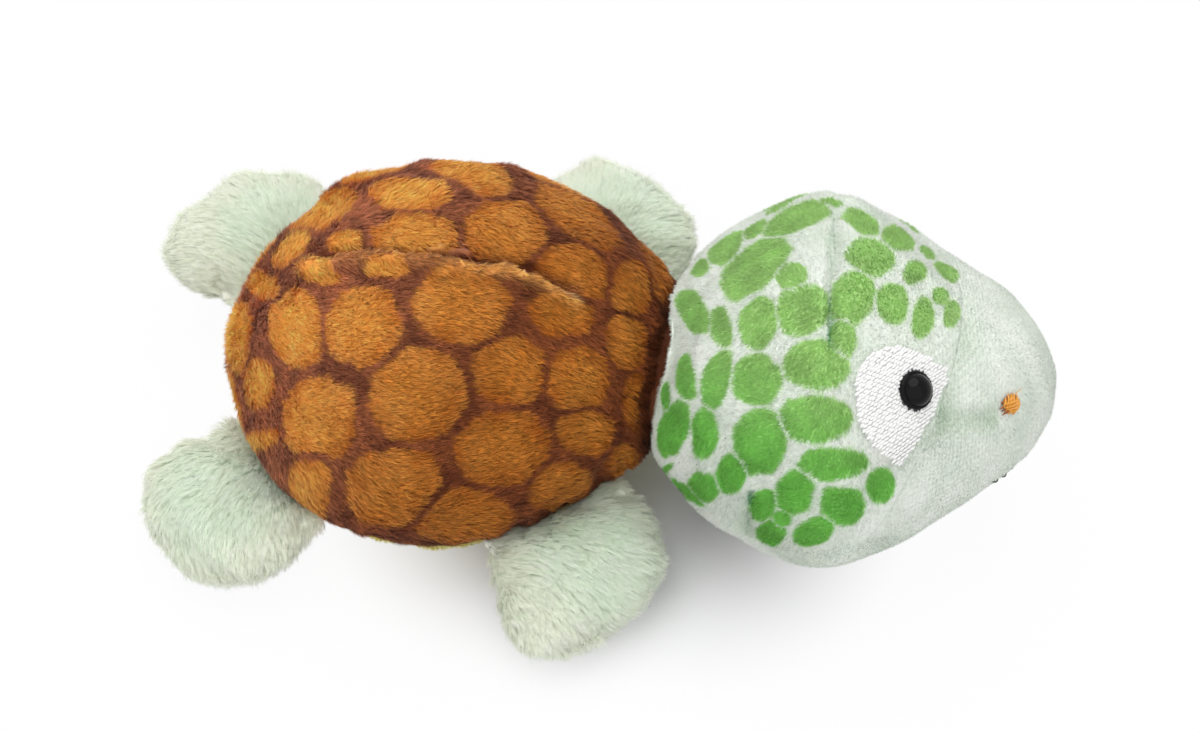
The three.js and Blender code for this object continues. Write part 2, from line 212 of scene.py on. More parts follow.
def threadFinish(name, colour, shade, gloss):
    finish = Finish(name)
    # painted highlights and shade: the thread's colour flecked with a shaded copy of it
    strands = finish.noise(5.0, 3)
    litAndShadedThread = finish.mix(strands, opaque(shade), opaque(colour))
    return finish.set(colour=litAndShadedThread, roughness=strands * 0.2 + gloss, sheen=0.2, shine=0.4,
                      normal=finish.bump(strands, 0.03))


def beadFinish():
    finish = Finish("blackBead")
    dust = finish.noise(3.0, 4)
    colour = finish.mix(dust, opaque((6, 6, 7)), opaque((14, 14, 16)))
    return finish.set(colour=colour, roughness=dust * 0.06 + 0.06, shine=0.12)


def washerFinish():
    finish = Finish("washerPlastic")
    marks = finish.noise(1.2, 4)
    colour = finish.mix(marks, opaque((228, 224, 214)), opaque((240, 238, 230)))
    return finish.set(colour=colour, roughness=marks * 0.15 + 0.4, normal=finish.bump(marks, 0.02))


def fillingFinish():
    finish = Finish("fibreFilling")
    tufts = finish.noise(0.5, 6)
    fibres = finish.noise(3.0, 4, stretch=(1, 3, 0.4))
    colour = finish.mix(tufts, opaque((226, 225, 220)), opaque((250, 250, 248)))
    return finish.set(colour=colour, roughness=fibres * 0.1 + 0.88, sheen=0.3,
                      normal=finish.bump(tufts + fibres, 0.4))


finishes = {
    "shellPile": pileFinish("shellPile", 0.12, 0.25, 0.25),
    "shellBacking": backingFinish("shellBacking", 1.4),
    "bellyPile": pileFinish("bellyPile", 0.15, 0.25, 0.5),
    "flipperPile": pileFinish("flipperPile", 0.25, 0.3, 0.6),
    "flipperBacking": backingFinish("flipperBacking", 1.4),
    "velourPile": pileFinish("velourPile", 0.12, 0.2, 0.4),
    "velourBacking": backingFinish("velourBacking", 2.2),
    "whiteThread": threadFinish("whiteThread", (250, 250, 249), (236, 235, 234), 0.4),
    "goldThread": threadFinish("goldThread", (250, 184, 70), (206, 128, 30), 0.35),
    # a darker copy of the gold thread, as painted shade under the nostrils' top layers
    "shadedGoldThread": threadFinish("shadedGoldThread", (170, 92, 22), (120, 60, 14), 0.45),
    "blackThread": threadFinish("blackThread", (38, 38, 42), (12, 12, 14), 0.45),
    "blackBead": beadFinish(),
    "washerPlastic": washerFinish(),
    "fibreFilling": fillingFinish(),
}
print("finishes made")


# Meshes from rows of points

def unit(vectors):
    return vectors / np.maximum(np.linalg.norm(vectors, axis=-1, keepdims=True), 1e-9)


def turnsOf(count):
    return np.arange(count) * (2 * math.pi / count)


def waves(points, size, seed, count=14):
    # a smooth random field with about the given size of lump, from -1 to 1 for the most part
    rng = np.random.default_rng(seed)
    directions = unit(rng.normal(size=(count, 3))) * rng.uniform(0.6, 1.5, (count, 1))
    phases = rng.uniform(0, 2 * math.pi, count)
    return np.cos(points @ directions.T * (2 * math.pi / size) + phases).sum(-1) / math.sqrt(count)


def smoothly(values, low, high):
    share = np.clip((values - low) / (high - low), 0, 1)
    return share * share * (3 - 2 * share)


def refined(rows, times, axis, closed):
    # Catmull-Rom points between the given ones, which it keeps
    points = np.moveaxis(rows, axis, 0)
    count = len(points)
    if closed:
        at = (np.arange(count)[:, None] + np.arange(-1, 3)) % count
    else:
        at = np.clip(np.arange(count - 1)[:, None] + np.arange(-1, 3), 0, count - 1)
    before, start, end, after = (points[at[:, k]] for k in range(4))
    made = []
    for step in range(times):
        t = step / times
        made.append(0.5 * (2 * start + (end - before) * t + (2 * before - 5 * start + 4 * end - after) * t ** 2
                           + (3 * start - before - 3 * end + after) * t ** 3))
    fine = np.stack(made, 1).reshape(-1, *points.shape[1:])
    if not closed:
        fine = np.concatenate([fine, points[-1:]])
    return np.moveaxis(fine, 0, axis)


def gridFaces(rows, columns, closed=True, offset=0, flipped=False):
    row, column = np.meshgrid(np.arange(rows - 1), np.arange(columns if closed else columns - 1), indexing="ij")
    beside = (column + 1) % columns
    corners = [row * columns + column, row * columns + beside, (row + 1) * columns + beside,
               (row + 1) * columns + column]
    faces = np.stack([c.ravel() for c in corners], 1) + offset
    return faces[:, ::-1] if flipped else faces


def gridNormals(rows, closed=True):
    down = np.gradient(rows, axis=0)
    if closed:
        along = (np.roll(rows, -1, axis=1) - np.roll(rows, 1, axis=1)) / 2
    else:
        along = np.gradient(rows, axis=1)
    normals = np.cross(along, down)
    length = np.linalg.norm(normals, axis=-1, keepdims=True)
    normals = np.where(length > 1e-6, normals / np.maximum(length, 1e-9), 0)
    for pole, inner in ((0, 1), (-1, -2)):
        if np.ptp(rows[pole], axis=0).max() < 1e-6:
            normals[pole] = unit(normals[inner].mean(0))
    return normals


def meshPiece(name, points, polygons, finish, tints=None):
    mesh = bpy.data.meshes.new(name)
    polygons = [np.asarray(p, np.int32) for p in polygons if len(p)]
    sides = np.concatenate([np.full(len(p), p.shape[1], np.int32) for p in polygons])
    corners = np.concatenate([p.ravel() for p in polygons])
    mesh.vertices.add(len(points))
    mesh.vertices.foreach_set("co", (np.asarray(points) * mm).astype(np.float32).ravel())
    mesh.loops.add(len(corners))
    mesh.loops.foreach_set("vertex_index", corners)
    mesh.polygons.add(len(sides))
    mesh.polygons.foreach_set("loop_start", np.concatenate([[0], np.cumsum(sides)[:-1]]).astype(np.int32))
    mesh.update(calc_edges=True)
    mesh.validate()
    mesh.shade_smooth()
    if tints is not None:
        colours = mesh.color_attributes.new("tint", "FLOAT_COLOR", "POINT")
        filled = np.concatenate([tints, np.ones((len(tints), 1))], 1)
        colours.data.foreach_set("color", filled.astype(np.float32).ravel())
    mesh.materials.append(finishes[finish])
    piece = bpy.data.objects.new(name, mesh)
    bpy.context.scene.collection.objects.link(piece)
    return piece


def fabricPiece(name, rows, thickness, finish, tintAt=None, closed=True):
    # a sheet with its two faces and its rims, so that each piece of fabric is a closed solid
    normals = gridNormals(rows, closed)
    height, width = rows.shape[:2]
    inner = (rows - normals * np.reshape(thickness, (-1, 1, 1))).reshape(-1, 3)
    outer = rows.reshape(-1, 3)
    count = len(outer)
    points = np.concatenate([outer, inner])
    polygons = [gridFaces(height, width, closed), gridFaces(height, width, closed, count, True)]
    index = np.arange(count).reshape(height, width)
    rims = []
    if np.ptp(rows[0], axis=0).max() > 1e-6:
        rims.append((index[0], closed, True))
    if np.ptp(rows[-1], axis=0).max() > 1e-6:
        rims.append((index[-1], closed, False))
    if not closed:
        rims += [(index[:, 0], False, False), (index[:, -1], False, True)]
    for line, round_, flipped in rims:
        beside = np.roll(line, -1) if round_ else line[1:]
        line = line if round_ else line[:-1]
        strip = np.stack([line, beside, beside + count, line + count], 1)
        polygons.append(strip[:, ::-1] if flipped else strip)
    piece = meshPiece(name, points, polygons, finish, np.concatenate([tintAt(outer)] * 2) if tintAt else None)
    mergePoles(piece)
    return piece


def mergePoles(piece):
    work = bmesh.new()
    work.from_mesh(piece.data)
    bmesh.ops.remove_doubles(work, verts=work.verts, dist=1e-6)
    bmesh.ops.dissolve_degenerate(work, edges=work.edges, dist=1e-7)
    work.to_mesh(piece.data)
    work.free()


def surfaceTree(rows):
    faces = gridFaces(*rows.shape[:2])
    return BVHTree.FromPolygons(rows.reshape(-1, 3).tolist(), faces.tolist())


# Where pixels of the photograph lie on a surface. One that misses takes the nearest point instead.
def ontoSurface(tree, pixels):
    eye = Vector(eyePoint())
    found = []
    for ray in pixelRays(pixels):
        hit = tree.ray_cast(eye, Vector(ray))
        if hit[0] is None:
            past = eye + Vector(ray) * (-eye).dot(Vector(ray))
            hit = tree.find_nearest(past)
        found.append(hit[0])
    return np.array(found)


def pathOn(tree, pixels, steps=6):
    return refined(ontoSurface(tree, pixels), steps, 0, False)


def flatGrid(rows):
    return rows.reshape(-1, 3), gridNormals(rows).reshape(-1, 3)


def swollen(rows, by):
    return rows + gridNormals(rows) * by[..., None]


def finerGrid(rows, times):
    return refined(refined(rows, times, 0, False), times, 1, True)


def walkedAlong(points):
    return np.concatenate([[0], np.cumsum(np.linalg.norm(np.diff(points, axis=0), axis=1))])


# How far each point lies across a line drawn on a surface, with its sign, and how far along
def acrossLine(points, normals, line):
    best = np.full(len(points), np.inf)
    across, along = np.zeros(len(points)), np.zeros(len(points))
    normals = unit(normals)
    walked = 0.0
    for start, end in zip(line[:-1], line[1:]):
        step = end - start
        length = np.linalg.norm(step)
        share = np.clip((points - start) @ step / length ** 2, 0, 1)
        offset = points - start - share[:, None] * step
        offset -= 0.8 * np.einsum("ij,ij->i", offset, normals)[:, None] * normals
        distance = np.linalg.norm(offset, axis=1)
        nearer = distance < best
        side = np.sign(np.einsum("ij,ij->i", offset, np.cross(normals, step)))
        across[nearer] = (distance * side)[nearer]
        along[nearer] = (walked + share * length)[nearer]
        best = np.minimum(best, distance)
        walked += length
    return across, along, walked


def fadedEnds(along, length, first, last):
    return smoothly(along, 0, first) * smoothly(length - along, 0, last)


def sewLine(rows, tree, line):
    # sinks a seam into the fabric, with a lip beside it and puckers that fade away from it
    points, normals = flatGrid(rows)
    across, along, length = acrossLine(points, normals, pathOn(tree, line["pixels"]))
    ends = fadedEnds(along, length, line["fade"], line["fade"])
    valley = -line["depth"] * np.exp(-(across / line["width"]) ** 2)
    lip = line.get("lip", 0) * np.exp(-((across - 1.9 * line["width"]) / (1.4 * line["width"])) ** 2)
    pucker = line.get("pucker", 0) * np.exp(-np.abs(across) / line.get("reach", 3)) * (
        np.sin(along * (2 * math.pi / line.get("pitch", 4)) + 2 * waves(points, 9, 3)))
    moved = (points + normals * ((valley + lip + pucker) * ends)[:, None]).reshape(rows.shape)
    close = (0.7 * np.exp(-(across / (3 * line["width"])) ** 2) * ends).reshape(rows.shape[:2])[..., None]
    for _ in range(2):
        beside = (np.roll(moved, 1, 1) + np.roll(moved, -1, 1)) / 2
        above = moved.copy()
        above[1:-1] = (moved[:-2] + moved[2:]) / 2
        moved = moved + close * ((beside + above) / 2 - moved)
    return moved


# Cloth simulation: the form is filled like a balloon and held at its seams. It runs on a large copy.
cloth = {"larger": 6, "pressure": 4, "frames": 20, "spare": -0.02}


def holdAlong(held, rows, lines, steps, half):
    tree = surfaceTree(rows)
    for line in lines:
        across = acrossLine(*flatGrid(rows), pathOn(tree, line["pixels"], steps))[0]
        held[(np.abs(across) < half).reshape(held.shape)] = 1


def plumped(rows, held, most):
    shape = rows.shape
    flat = rows.reshape(-1, 3)
    same = np.arange(len(flat)).reshape(shape[:2])
    for pole in (0, -1):
        if np.ptp(rows[pole], axis=0).max() < 1e-6:
            same[pole] = same[pole, 0]
    same = same.ravel()
    faces = [list(dict.fromkeys(face)) for face in same[gridFaces(*shape[:2])].tolist()]
    mesh = bpy.data.meshes.new("plumping")
    mesh.from_pydata((flat * mm * cloth["larger"]).tolist(), [], faces)
    piece = bpy.data.objects.new("plumping", mesh)
    bpy.context.scene.collection.objects.link(piece)
    sewn = piece.vertex_groups.new(name="sewn")
    sewn.add(np.flatnonzero(held.ravel()).tolist(), 1.0, "REPLACE")
    settings = piece.modifiers.new("filling", "CLOTH").settings
    settings.use_pressure = True
    settings.uniform_pressure_force = cloth["pressure"]
    settings.vertex_group_mass = "sewn"
    settings.shrink_min = cloth["spare"]
    settings.effector_weights.gravity = 0
    for number in range(1, cloth["frames"] + 1):
        bpy.context.scene.frame_set(number)
    evaluated = piece.evaluated_get(bpy.context.evaluated_depsgraph_get())
    found = np.zeros(len(flat) * 3, np.float32)
    evaluated.data.vertices.foreach_get("co", found)
    bpy.data.objects.remove(piece)
    bpy.context.scene.frame_set(1)
    moved = (found.reshape(-1, 3) / (mm * cloth["larger"]) - flat)[same]
    far = np.linalg.norm(moved, axis=1, keepdims=True)
    moved *= np.minimum(1, most / np.maximum(far, 1e-6))
    return (flat + moved).reshape(shape)


# Pile: each strand is a narrow blade that grows from the fabric, leans with the comb and keeps to its tuft.
def trianglesOf(rows, keep=None):
    quads = gridFaces(*rows.shape[:2])
    if keep is not None:
        quads = quads[keep.ravel()[quads].all(1)]
    return np.concatenate([quads[:, [0, 1, 2]], quads[:, [0, 2, 3]]], 1).reshape(-1, 3)


def rootsOn(rows, keep, perSquare, rng):
    # evenly spread places on the fabric, each as the corners of its triangle and their weights
    points, triangles = rows.reshape(-1, 3), trianglesOf(rows, keep)
    a, b, c = (points[triangles[:, k]] for k in range(3))
    areas = np.linalg.norm(np.cross(b - a, c - a), axis=1) / 2
    total = np.cumsum(areas)
    count = int(total[-1] * perSquare * (1))
    picked = np.searchsorted(total, (np.arange(count) + rng.random(count)) / count * total[-1])
    picked = np.minimum(picked, len(triangles) - 1)
    u, v = rng.random((2, count))
    u, v = np.where(u + v > 1, 1 - u, u), np.where(u + v > 1, 1 - v, v)
    return triangles[picked], np.stack([1 - u - v, u, v], 1)[:, :, None]


def tuftsOf(root, inTuft, rng):
    # the leading strand of each one's tuft: the nearest of a few that are picked
    leaders = rng.choice(len(root), max(1, int(len(root) / inTuft)), replace=False)
    tree = KDTree(len(leaders))
    for place, index in enumerate(leaders):
        tree.insert(root[index], place)
    tree.balance()
    return leaders[np.array([tree.find(p)[1] for p in root])]


# The triangles of a strand with one or two steps, and where its corners lie in its cell of the texture
blades = {
    1: ([[0, 1, 2]], [[0.15, 0.15], [0.85, 0.15], [0.5, 0.85]]),
    2: ([[0, 1, 3], [0, 3, 2], [2, 3, 4]], [[0.15, 0.15], [0.85, 0.15], [0.2, 0.5], [0.8, 0.5], [0.5, 0.85]]),
}
mostStrands = {1: 190000, 2: 64000}  # in one piece
strand = {"leanBelow": 0.6, "standAbove": 0.45, "rootDepth": 0.15, "aboveTable": 0.03}


def growPile(name, rows, tintAt, comb, pile, seed, keep=None, reliefAt=None, lengthShare=None):
    rng = np.random.default_rng(seed)
    points, normals = flatGrid(rows)
    corners, weights = rootsOn(rows, keep, pile["perSquare"], rng)
    count = len(corners)

    def blended(values):
        return (values[corners] * weights).sum(1)

    root, normal, lean = blended(points), unit(blended(normals)), blended(comb.reshape(-1, 3))
    tint = tintAt(root)
    relief = reliefAt(root) if reliefAt else np.zeros(3)
    lean -= normal * np.einsum("ij,ij->i", lean, normal)[:, None]
    length = pile["length"] * rng.uniform(0.75, 1.15, count)
    if lengthShare is not None:
        length *= blended(lengthShare.reshape(-1, 1))[:, 0]

    # strands near one another end near the same place
    leader = tuftsOf(root, pile["inTuft"], rng)
    sway = rng.normal(size=(count, 3)) * pile["sway"]
    tuftSway = rng.normal(size=(count, 3)) * pile["tuftSway"]
    first = unit(normal * pile["stand"] + lean * pile["combed"] * strand["leanBelow"] + sway + tuftSway[leader])
    last = unit(normal * pile["stand"] * strand["standAbove"] + lean * pile["combed"] + 1.3 * sway
                + 1.4 * tuftSway[leader])
    middle = root + first * (length * 0.5)[:, None]
    tip = middle + last * (length * 0.5)[:, None]
    pull = pile["gather"]
    tip += pull * ((tip[leader] - tip) - 0.3 * (root[leader] - root))
    middle += 0.3 * pull * ((middle[leader] - middle) - 0.3 * (root[leader] - root))

    # each blade lies flat to the fabric, a little rolled
    roll = rng.normal(size=(count, 1)) * pile["roll"]
    side = unit(np.cross(first, normal)) + normal * roll
    side = unit(side - first * np.einsum("ij,ij->i", side, first)[:, None])
    facing = unit(np.cross(side, first))
    inward = np.einsum("ij,ij->i", facing, normal) < 0
    side[inward] *= -1
    facing[inward] *= -1
    half = side * (pile["width"] / 2 * rng.uniform(0.8, 1.2, count))[:, None]
    root = root - normal * strand["rootDepth"]
    shade = 1 + pile["fleck"] * rng.normal(size=(count, 1)) + 0.5 * pile["fleck"] * rng.normal(
        size=(count, 1))[leader]
    tint = np.clip(tint * shade, 0, 1)
    # painted shade at each strand's root and painted light at its tip
    dark, light = tint * pile["rootShade"], np.clip(tint * pile["tipShade"], 0, 1)
    twoSteps = pile["steps"] == 2
    between = [middle - 0.75 * half, middle + 0.75 * half] if twoSteps else []
    middling = [(dark + light) / 2] * 2 if twoSteps else []
    vertices = np.stack([root - half, root + half, *between, tip], 1)
    colours = np.stack([dark, dark, *middling, light], 1)
    vertices[:, :, 2] = np.maximum(vertices[:, :, 2], strand["aboveTable"])

    shape, flat = (np.array(part) for part in blades[pile["steps"]])
    perStrand = vertices.shape[1]
    pieces = []
    groups = math.ceil(count / mostStrands[pile["steps"]])
    for number, part in enumerate(np.array_split(np.arange(count), groups), 1):
        starts = np.arange(len(part))[:, None, None] * perStrand
        faces = (starts + shape[None]).reshape(-1, 3)
        label = name if groups == 1 else f"{name}_{number}"
        piece = meshPiece(label, vertices[part].reshape(-1, 3), [faces], pile["finish"],
                          colours[part].reshape(-1, 3))
        mapStrands(piece.data, len(part), flat, faces)
        shading = unit(normal[part] * pile["smooth"] + facing[part] + np.broadcast_to(relief, root.shape)[part])
        piece.data.normals_split_custom_set_from_vertices(np.repeat(shading, perStrand, 0))
        pieces.append(piece)
    print(name, count, "strands")
    return pieces


def mapStrands(mesh, count, flat, faces):
    # a small cell of the texture for each strand, so that a bake keeps each one's colour
    side = math.ceil(math.sqrt(count))
    cell = np.stack([np.arange(count) % side, np.arange(count) // side], 1)
    places = ((cell[:, None] + flat[None]) / side).reshape(-1, 2)[faces.ravel()].astype(np.float32)
    for label in ("strand", "OFBake"):
        layer = mesh.uv_layers.new(name=label)
        layer.uv.foreach_set("vector", places.ravel())
    mesh.uv_layers["strand"].active_render = True


# Body: the form that the CAD solids have

body = {
    "halfLength": 36.5,
    "halfWidth": 34.8,
    "widest": 20,
    "rise": 29.5,
    "drop": 21.6,
    "seam": 11,
    "columns": 96,
    "shellRows": 34,
    "bellyRows": 20,
    "finer": 3,
    "fabric": 0.9,
    "sunkStart": 0.9,
    "plumpMost": 1.3,
    "stillNearNeck": 14,
    "stillBesideFold": 1.4,
    "lumps": 0.4,
    # seen from above, it draws in towards its front right, and swells over the neck
    "reaches": [(-0.1, -50, 40), (0.085, 12, 24)],
}

shellPile = {
    "finish": "shellPile", "perSquare": 32, "length": 1.65, "width": 0.115, "steps": 2, "inTuft": 8,
    "sway": 0.06, "tuftSway": 0.09, "stand": 0.3, "combed": 1.0, "gather": 0.3, "roll": 0.35,
    "fleck": 0.24, "rootShade": 0.86, "tipShade": 1.2, "smooth": 2.1,
}

bellyPile = dict(shellPile, finish="bellyPile", perSquare=24, length=1.1, stand=0.5, rootShade=1.0)


def reachShare(angle):
    off = [((np.degrees(angle) - around + 180) % 360 - 180) / spread for _, around, spread in body["reaches"]]
    return 1 + sum(more * np.exp(-away ** 2) for (more, _, _), away in zip(body["reaches"], off))


def raisedAt(rows, places):
    # corners and hollows of the filled form, where they are seen
    tree = surfaceTree(rows)
    for pixel, height, spread in places:
        away = np.linalg.norm(rows - ontoSurface(tree, [pixel])[0], axis=-1)
        rows = swollen(rows, height * np.exp(-(away / spread) ** 2))
    return rows


def bodyForm(slopes, angles, inset):
    slope, angle = np.meshgrid(slopes, angles, indexing="ij")
    height = np.where(slope < 0, body["drop"], body["rise"]) - inset
    out = np.cos(slope) * reachShare(angle)
    points = np.stack([
        (body["halfLength"] - inset) * out * np.cos(angle),
        (body["halfWidth"] - inset) * out * np.sin(angle),
        body["widest"] + np.sin(slope) * height,
    ], -1)
    points[..., 2] = np.maximum(points[..., 2], inset)
    return points


# Neck: a stuffed sleeve, with the shell and the head hollowed to take it

neck = {"radius": 10, "halfLength": 6.5, "level": 21, "fabric": 0.8, "gap": 0.1, "headGap": 0.8, "gathers": 22,
        "fold": 0.35, "rows": 29, "columns": 132, "colour": (120, 200, 156)}
# How far round the neck the shell hugs it, in degrees, how much further below, and how close bowl and pile come
collar = {"reach": 72, "moreBelow": 50, "below": (-0.1, 0.3), "bowlGapShare": 0.5, "pileGapShare": 0.7}
neckCentre = np.array([body["halfLength"] - 1.2, 0, neck["level"]])


def fromNeck(points):
    away = points - neckCentre
    far = np.linalg.norm(away, axis=-1, keepdims=True)
    return away / np.maximum(far, 1e-6), far


def clearOfNeck(points, gap):
    away, far = fromNeck(points)
    room = neck["radius"] + gap
    return np.where(far < room, neckCentre + away * room, points)


def hollowedForNeck(points, gap):
    # the body's front hugs the neck as far as an edge, and folds back there into a bowl that the neck sits in
    away, far = fromNeck(points)
    room = neck["radius"] + gap
    turn = np.arccos(np.clip(away[..., :1], -1, 1))
    edge = np.radians(collar["reach"] + collar["moreBelow"] * smoothly(-away[..., 2:], *collar["below"]))
    folded = turn < edge
    turned = np.where(folded, math.pi - (math.pi - edge) * turn / edge, turn)
    sideways = unit(np.concatenate([away[..., :1] * 0, away[..., 1:]], axis=-1))
    hugging = np.cos(turned) * np.array((1.0, 0, 0)) + np.sin(turned) * sideways
    held = np.where(folded, room - gap * collar["bowlGapShare"], room)
    return np.where(far < room, neckCentre + hugging * held, points)


# The shell's seams and folds, as they are seen
shellLines = [
    # the valley of the long fold, from the head end back, so that its lip lies on the near side
    {"pixels": [(585, 297), (556, 284), (530, 274), (507, 266), (480, 262), (452, 257), (414, 254), (376, 252),
                (338, 255), (299, 266)],
     "depth": 2.0, "width": 1.2, "lip": 2.3, "fade": 5, "pucker": 0.35, "reach": 4, "pitch": 6},
    {"pixels": [(344, 478), (347, 498), (351, 516), (354, 532)],
     "depth": 1.0, "width": 0.9, "lip": 0.4, "fade": 3, "pucker": 0.2, "reach": 3, "pitch": 4},
    {"pixels": [(508, 276), (540, 268), (566, 256)],
     "depth": 0.5, "width": 1.4, "lip": 0.3, "fade": 4},
    {"pixels": [(585, 300), (602, 330), (612, 362)],
     "depth": 0.5, "width": 1.5, "lip": 0.3, "fade": 5},
]


# Where the filling pushes the shell out: the pixel, the height and how wide
shellPlaces = [((352, 184), 2.2, 6), ((349, 520), 0.8, 6)]


def makeBodyRows():
    seamSlope = math.asin((body["seam"] - body["widest"]) / body["drop"])
    below = np.linspace(-math.pi / 2, seamSlope, body["bellyRows"] + 1)
    above = np.linspace(seamSlope, math.pi / 2, body["shellRows"] + 1)[1:]
    slopes = np.concatenate([below, above])
    angles = turnsOf(body["columns"])
    rows = bodyForm(slopes, angles, body["sunkStart"])
    rows[..., 2] = np.maximum(rows[..., 2] - body["sunkStart"], 0)
    held = np.zeros(rows.shape[:2])
    held[body["bellyRows"]] = 1
    held[rows[..., 2] < 0.4] = 1
    held[fromNeck(rows)[1][..., 0] < body["stillNearNeck"]] = 1
    holdAlong(held, rows, shellLines[:1], 6, body["stillBesideFold"])
    rows = plumped(rows, held, body["plumpMost"])
    rows = raisedAt(rows, shellPlaces)
    bumps = waves(rows, 17, 11) * body["lumps"] + waves(rows, 7, 12) * body["lumps"] * 0.35
    bumps *= smoothly(rows[..., 2], 1, 9)
    return swollen(rows, bumps)


# Scutes: the middle, the width and height, and the slant in degrees of each, as they are seen
scutes = [
    ((455, 306), (99, 82), -8), ((357, 325), (76, 82), 0), ((291, 326), (52, 84), 6), ((411, 396), (97, 99), 0),
    ((314, 419), (73, 87), 0), ((257, 381), (29, 54), 5), ((237, 337), (24, 76), -8), ((388, 491), (97, 78), 0),
    ((497, 451), (96, 80), 8), ((505, 370), (80, 75), 12), ((574, 379), (70, 68), 20), ((582, 432), (58, 50), 10),
    ((557, 492), (66, 42), 28), ((459, 524), (100, 36), 4), ((638, 404), (42, 60), 12), ((559, 310), (70, 48), -6),
    ((567, 273), (74, 62), -12), ((502, 226), (83, 68), 0), ((629, 284), (40, 58), 0), ((625, 338), (42, 60), 4),
    ((574, 212), (112, 46), -34), ((468, 170), (108, 26), -8), ((371, 176), (76, 22), 14), ((406, 195), (82, 33), 3),
    ((412, 236), (86, 41), 0), ((321, 212), (76, 34), 32), ((342, 240), (50, 19), 8), ((384, 266), (100, 24), 6),
    ((315, 268), (34, 20), 6), ((268, 290), (26, 34), 30), ((305, 488), (100, 28), -47), ((652, 262), (68, 22), -52),
    ((664, 340), (20, 52), 0), ((619, 462), (40, 26), 24), ((290, 248), (54, 18), 44), ((256, 437), (22, 34), -20),
]
# How large a scute may get, how far apart mirrored ones lie, and those that fill bare places out of sight
scuteRoom = {"most": 9, "apart": 11, "bareApart": 10, "bareHalf": 6.4, "aboveSeam": 3, "fromNeck": 17}
# Each wave of the wobble has its share, the size of its lumps and its seed
scuteOutline = {"roundness": 2.15, "wobble": [(0.05, 6, 21), (0.03, 2.4, 22)], "edge": (0.92, 1.04),
                "gap": (0.09, 0.22)}
shellColours = {
    "scute": (226, 162, 72),
    "scuteMiddle": (240, 184, 98),
    "scuteEdge": (204, 132, 54),
    "network": (178, 114, 78),
    "networkDeep": (134, 80, 56),
    # the lip's colour is partly paler backing and partly painted light; the ridge's is a painted highlight
    "lip": (255, 190, 104),
    "ridgeHighlight": (255, 216, 164),
    "belly": (255, 238, 160),
}


# Marks of both prints: how drawn out one may be, how much it counts that a point lies off a mark's plane, and how far
# behind what is seen a place has to lie to be out of sight
printing = {"drawnOut": 1.9, "offPlane": 0.9, "behind": 1.5, "tries": 1500, "triesSeed": 25}


def markAt(tree, most, middle, size, slant=0):
    # the middle of a printed mark on the surface, and the two directions that its outline is measured in
    c, s = math.cos(math.radians(slant)), math.sin(math.radians(slant))
    across, upright = np.array([c, -s]) * size[0] / 2, np.array([-s, -c]) * size[1] / 2
    offsets = np.array([(0, 0), -across, across, -upright, upright])
    ends = ontoSurface(tree, np.array(middle) + offsets)
    wide, high = ((ends[k] - ends[k - 1]) / 2 for k in (2, 4))
    # one near the outline would reach too far down a side that turns away from the camera
    most = min(most, printing["drawnOut"] * min(np.linalg.norm(wide), np.linalg.norm(high)))
    wide, high = (half * min(1, most / np.linalg.norm(half)) for half in (wide, high))
    return ends[0], wide, high


def outlineShare(points, mark, roundness):
    # 1 on the mark's outline, less inside it and more outside
    middle, wide, high = mark
    frameOf = np.stack([wide, high])
    gram = frameOf @ frameOf.T
    parts = (points - middle) @ frameOf.T @ np.linalg.inv(gram)
    off = points - middle - parts @ frameOf
    flat = (np.abs(parts) ** roundness).sum(1) ** (1 / roundness)
    across = printing["offPlane"] * math.sqrt(np.linalg.norm(wide) * np.linalg.norm(high))
    return np.hypot(flat, np.linalg.norm(off, axis=1) / across)


def nearestMarks(points, marks, roundness):
    # the shares of the two marks that each point is most within
    best, second = (np.full(len(points), np.inf) for _ in range(2))
    for mark in marks:
        share = outlineShare(points, mark, roundness)
        second = np.minimum(second, np.maximum(best, share))
        best = np.minimum(best, share)
    return best, second


def printedShare(where, points, marks, outline):
    # how far out each point lies in its mark, with a wobble, and how strongly the mark is printed there
    best, second = nearestMarks(where, marks, outline["roundness"])
    inside = best
    for share, size, seed in outline["wobble"]:
        inside = inside + share * waves(points, size, seed)
    return inside, (1 - smoothly(inside, *outline["edge"])) * smoothly(second - best, *outline["gap"])


def outOfSight(tree, point):
    eyeAt = Vector(eyePoint())
    way = Vector(point) - eyeAt
    hit = tree.ray_cast(eyeAt, way.normalized())
    return hit[0] is not None and hit[3] < way.length - printing["behind"]


def mirroredToo(marks, apart, tree, placed=lambda point: point):
    # the unseen side has the same marks, mirrored, where none is printed yet
    made = list(marks)
    flip = np.array([1, -1, 1])
    for middle, wide, high in marks:
        there = middle * flip
        free = min(np.linalg.norm(there - other[0]) for other in made) > apart
        if free and outOfSight(tree, placed(there)):
            made.append((there, wide * flip, high * flip))
    return made


def filledIn(marks, tree):
    # round marks in the bare places that are left out of sight
    made = list(marks)
    rng = np.random.default_rng(printing["triesSeed"])
    for way in unit(rng.normal(size=(printing["tries"], 3))):
        place, normal = tree.ray_cast(Vector((0, 0, body["widest"])), Vector(way))[:2]
        there = np.array(place)
        free = min(np.linalg.norm(there - other[0]) for other in made) > scuteRoom["bareApart"]
        above = there[2] > body["seam"] + scuteRoom["aboveSeam"]
        behind = np.linalg.norm(there - neckCentre) > scuteRoom["fromNeck"]
        if free and above and behind and outOfSight(tree, there):
            wide = unit(np.cross(normal, (0, 0, 1)))
            made.append((there, wide * scuteRoom["bareHalf"], np.cross(normal, wide) * scuteRoom["bareHalf"]))
    return made


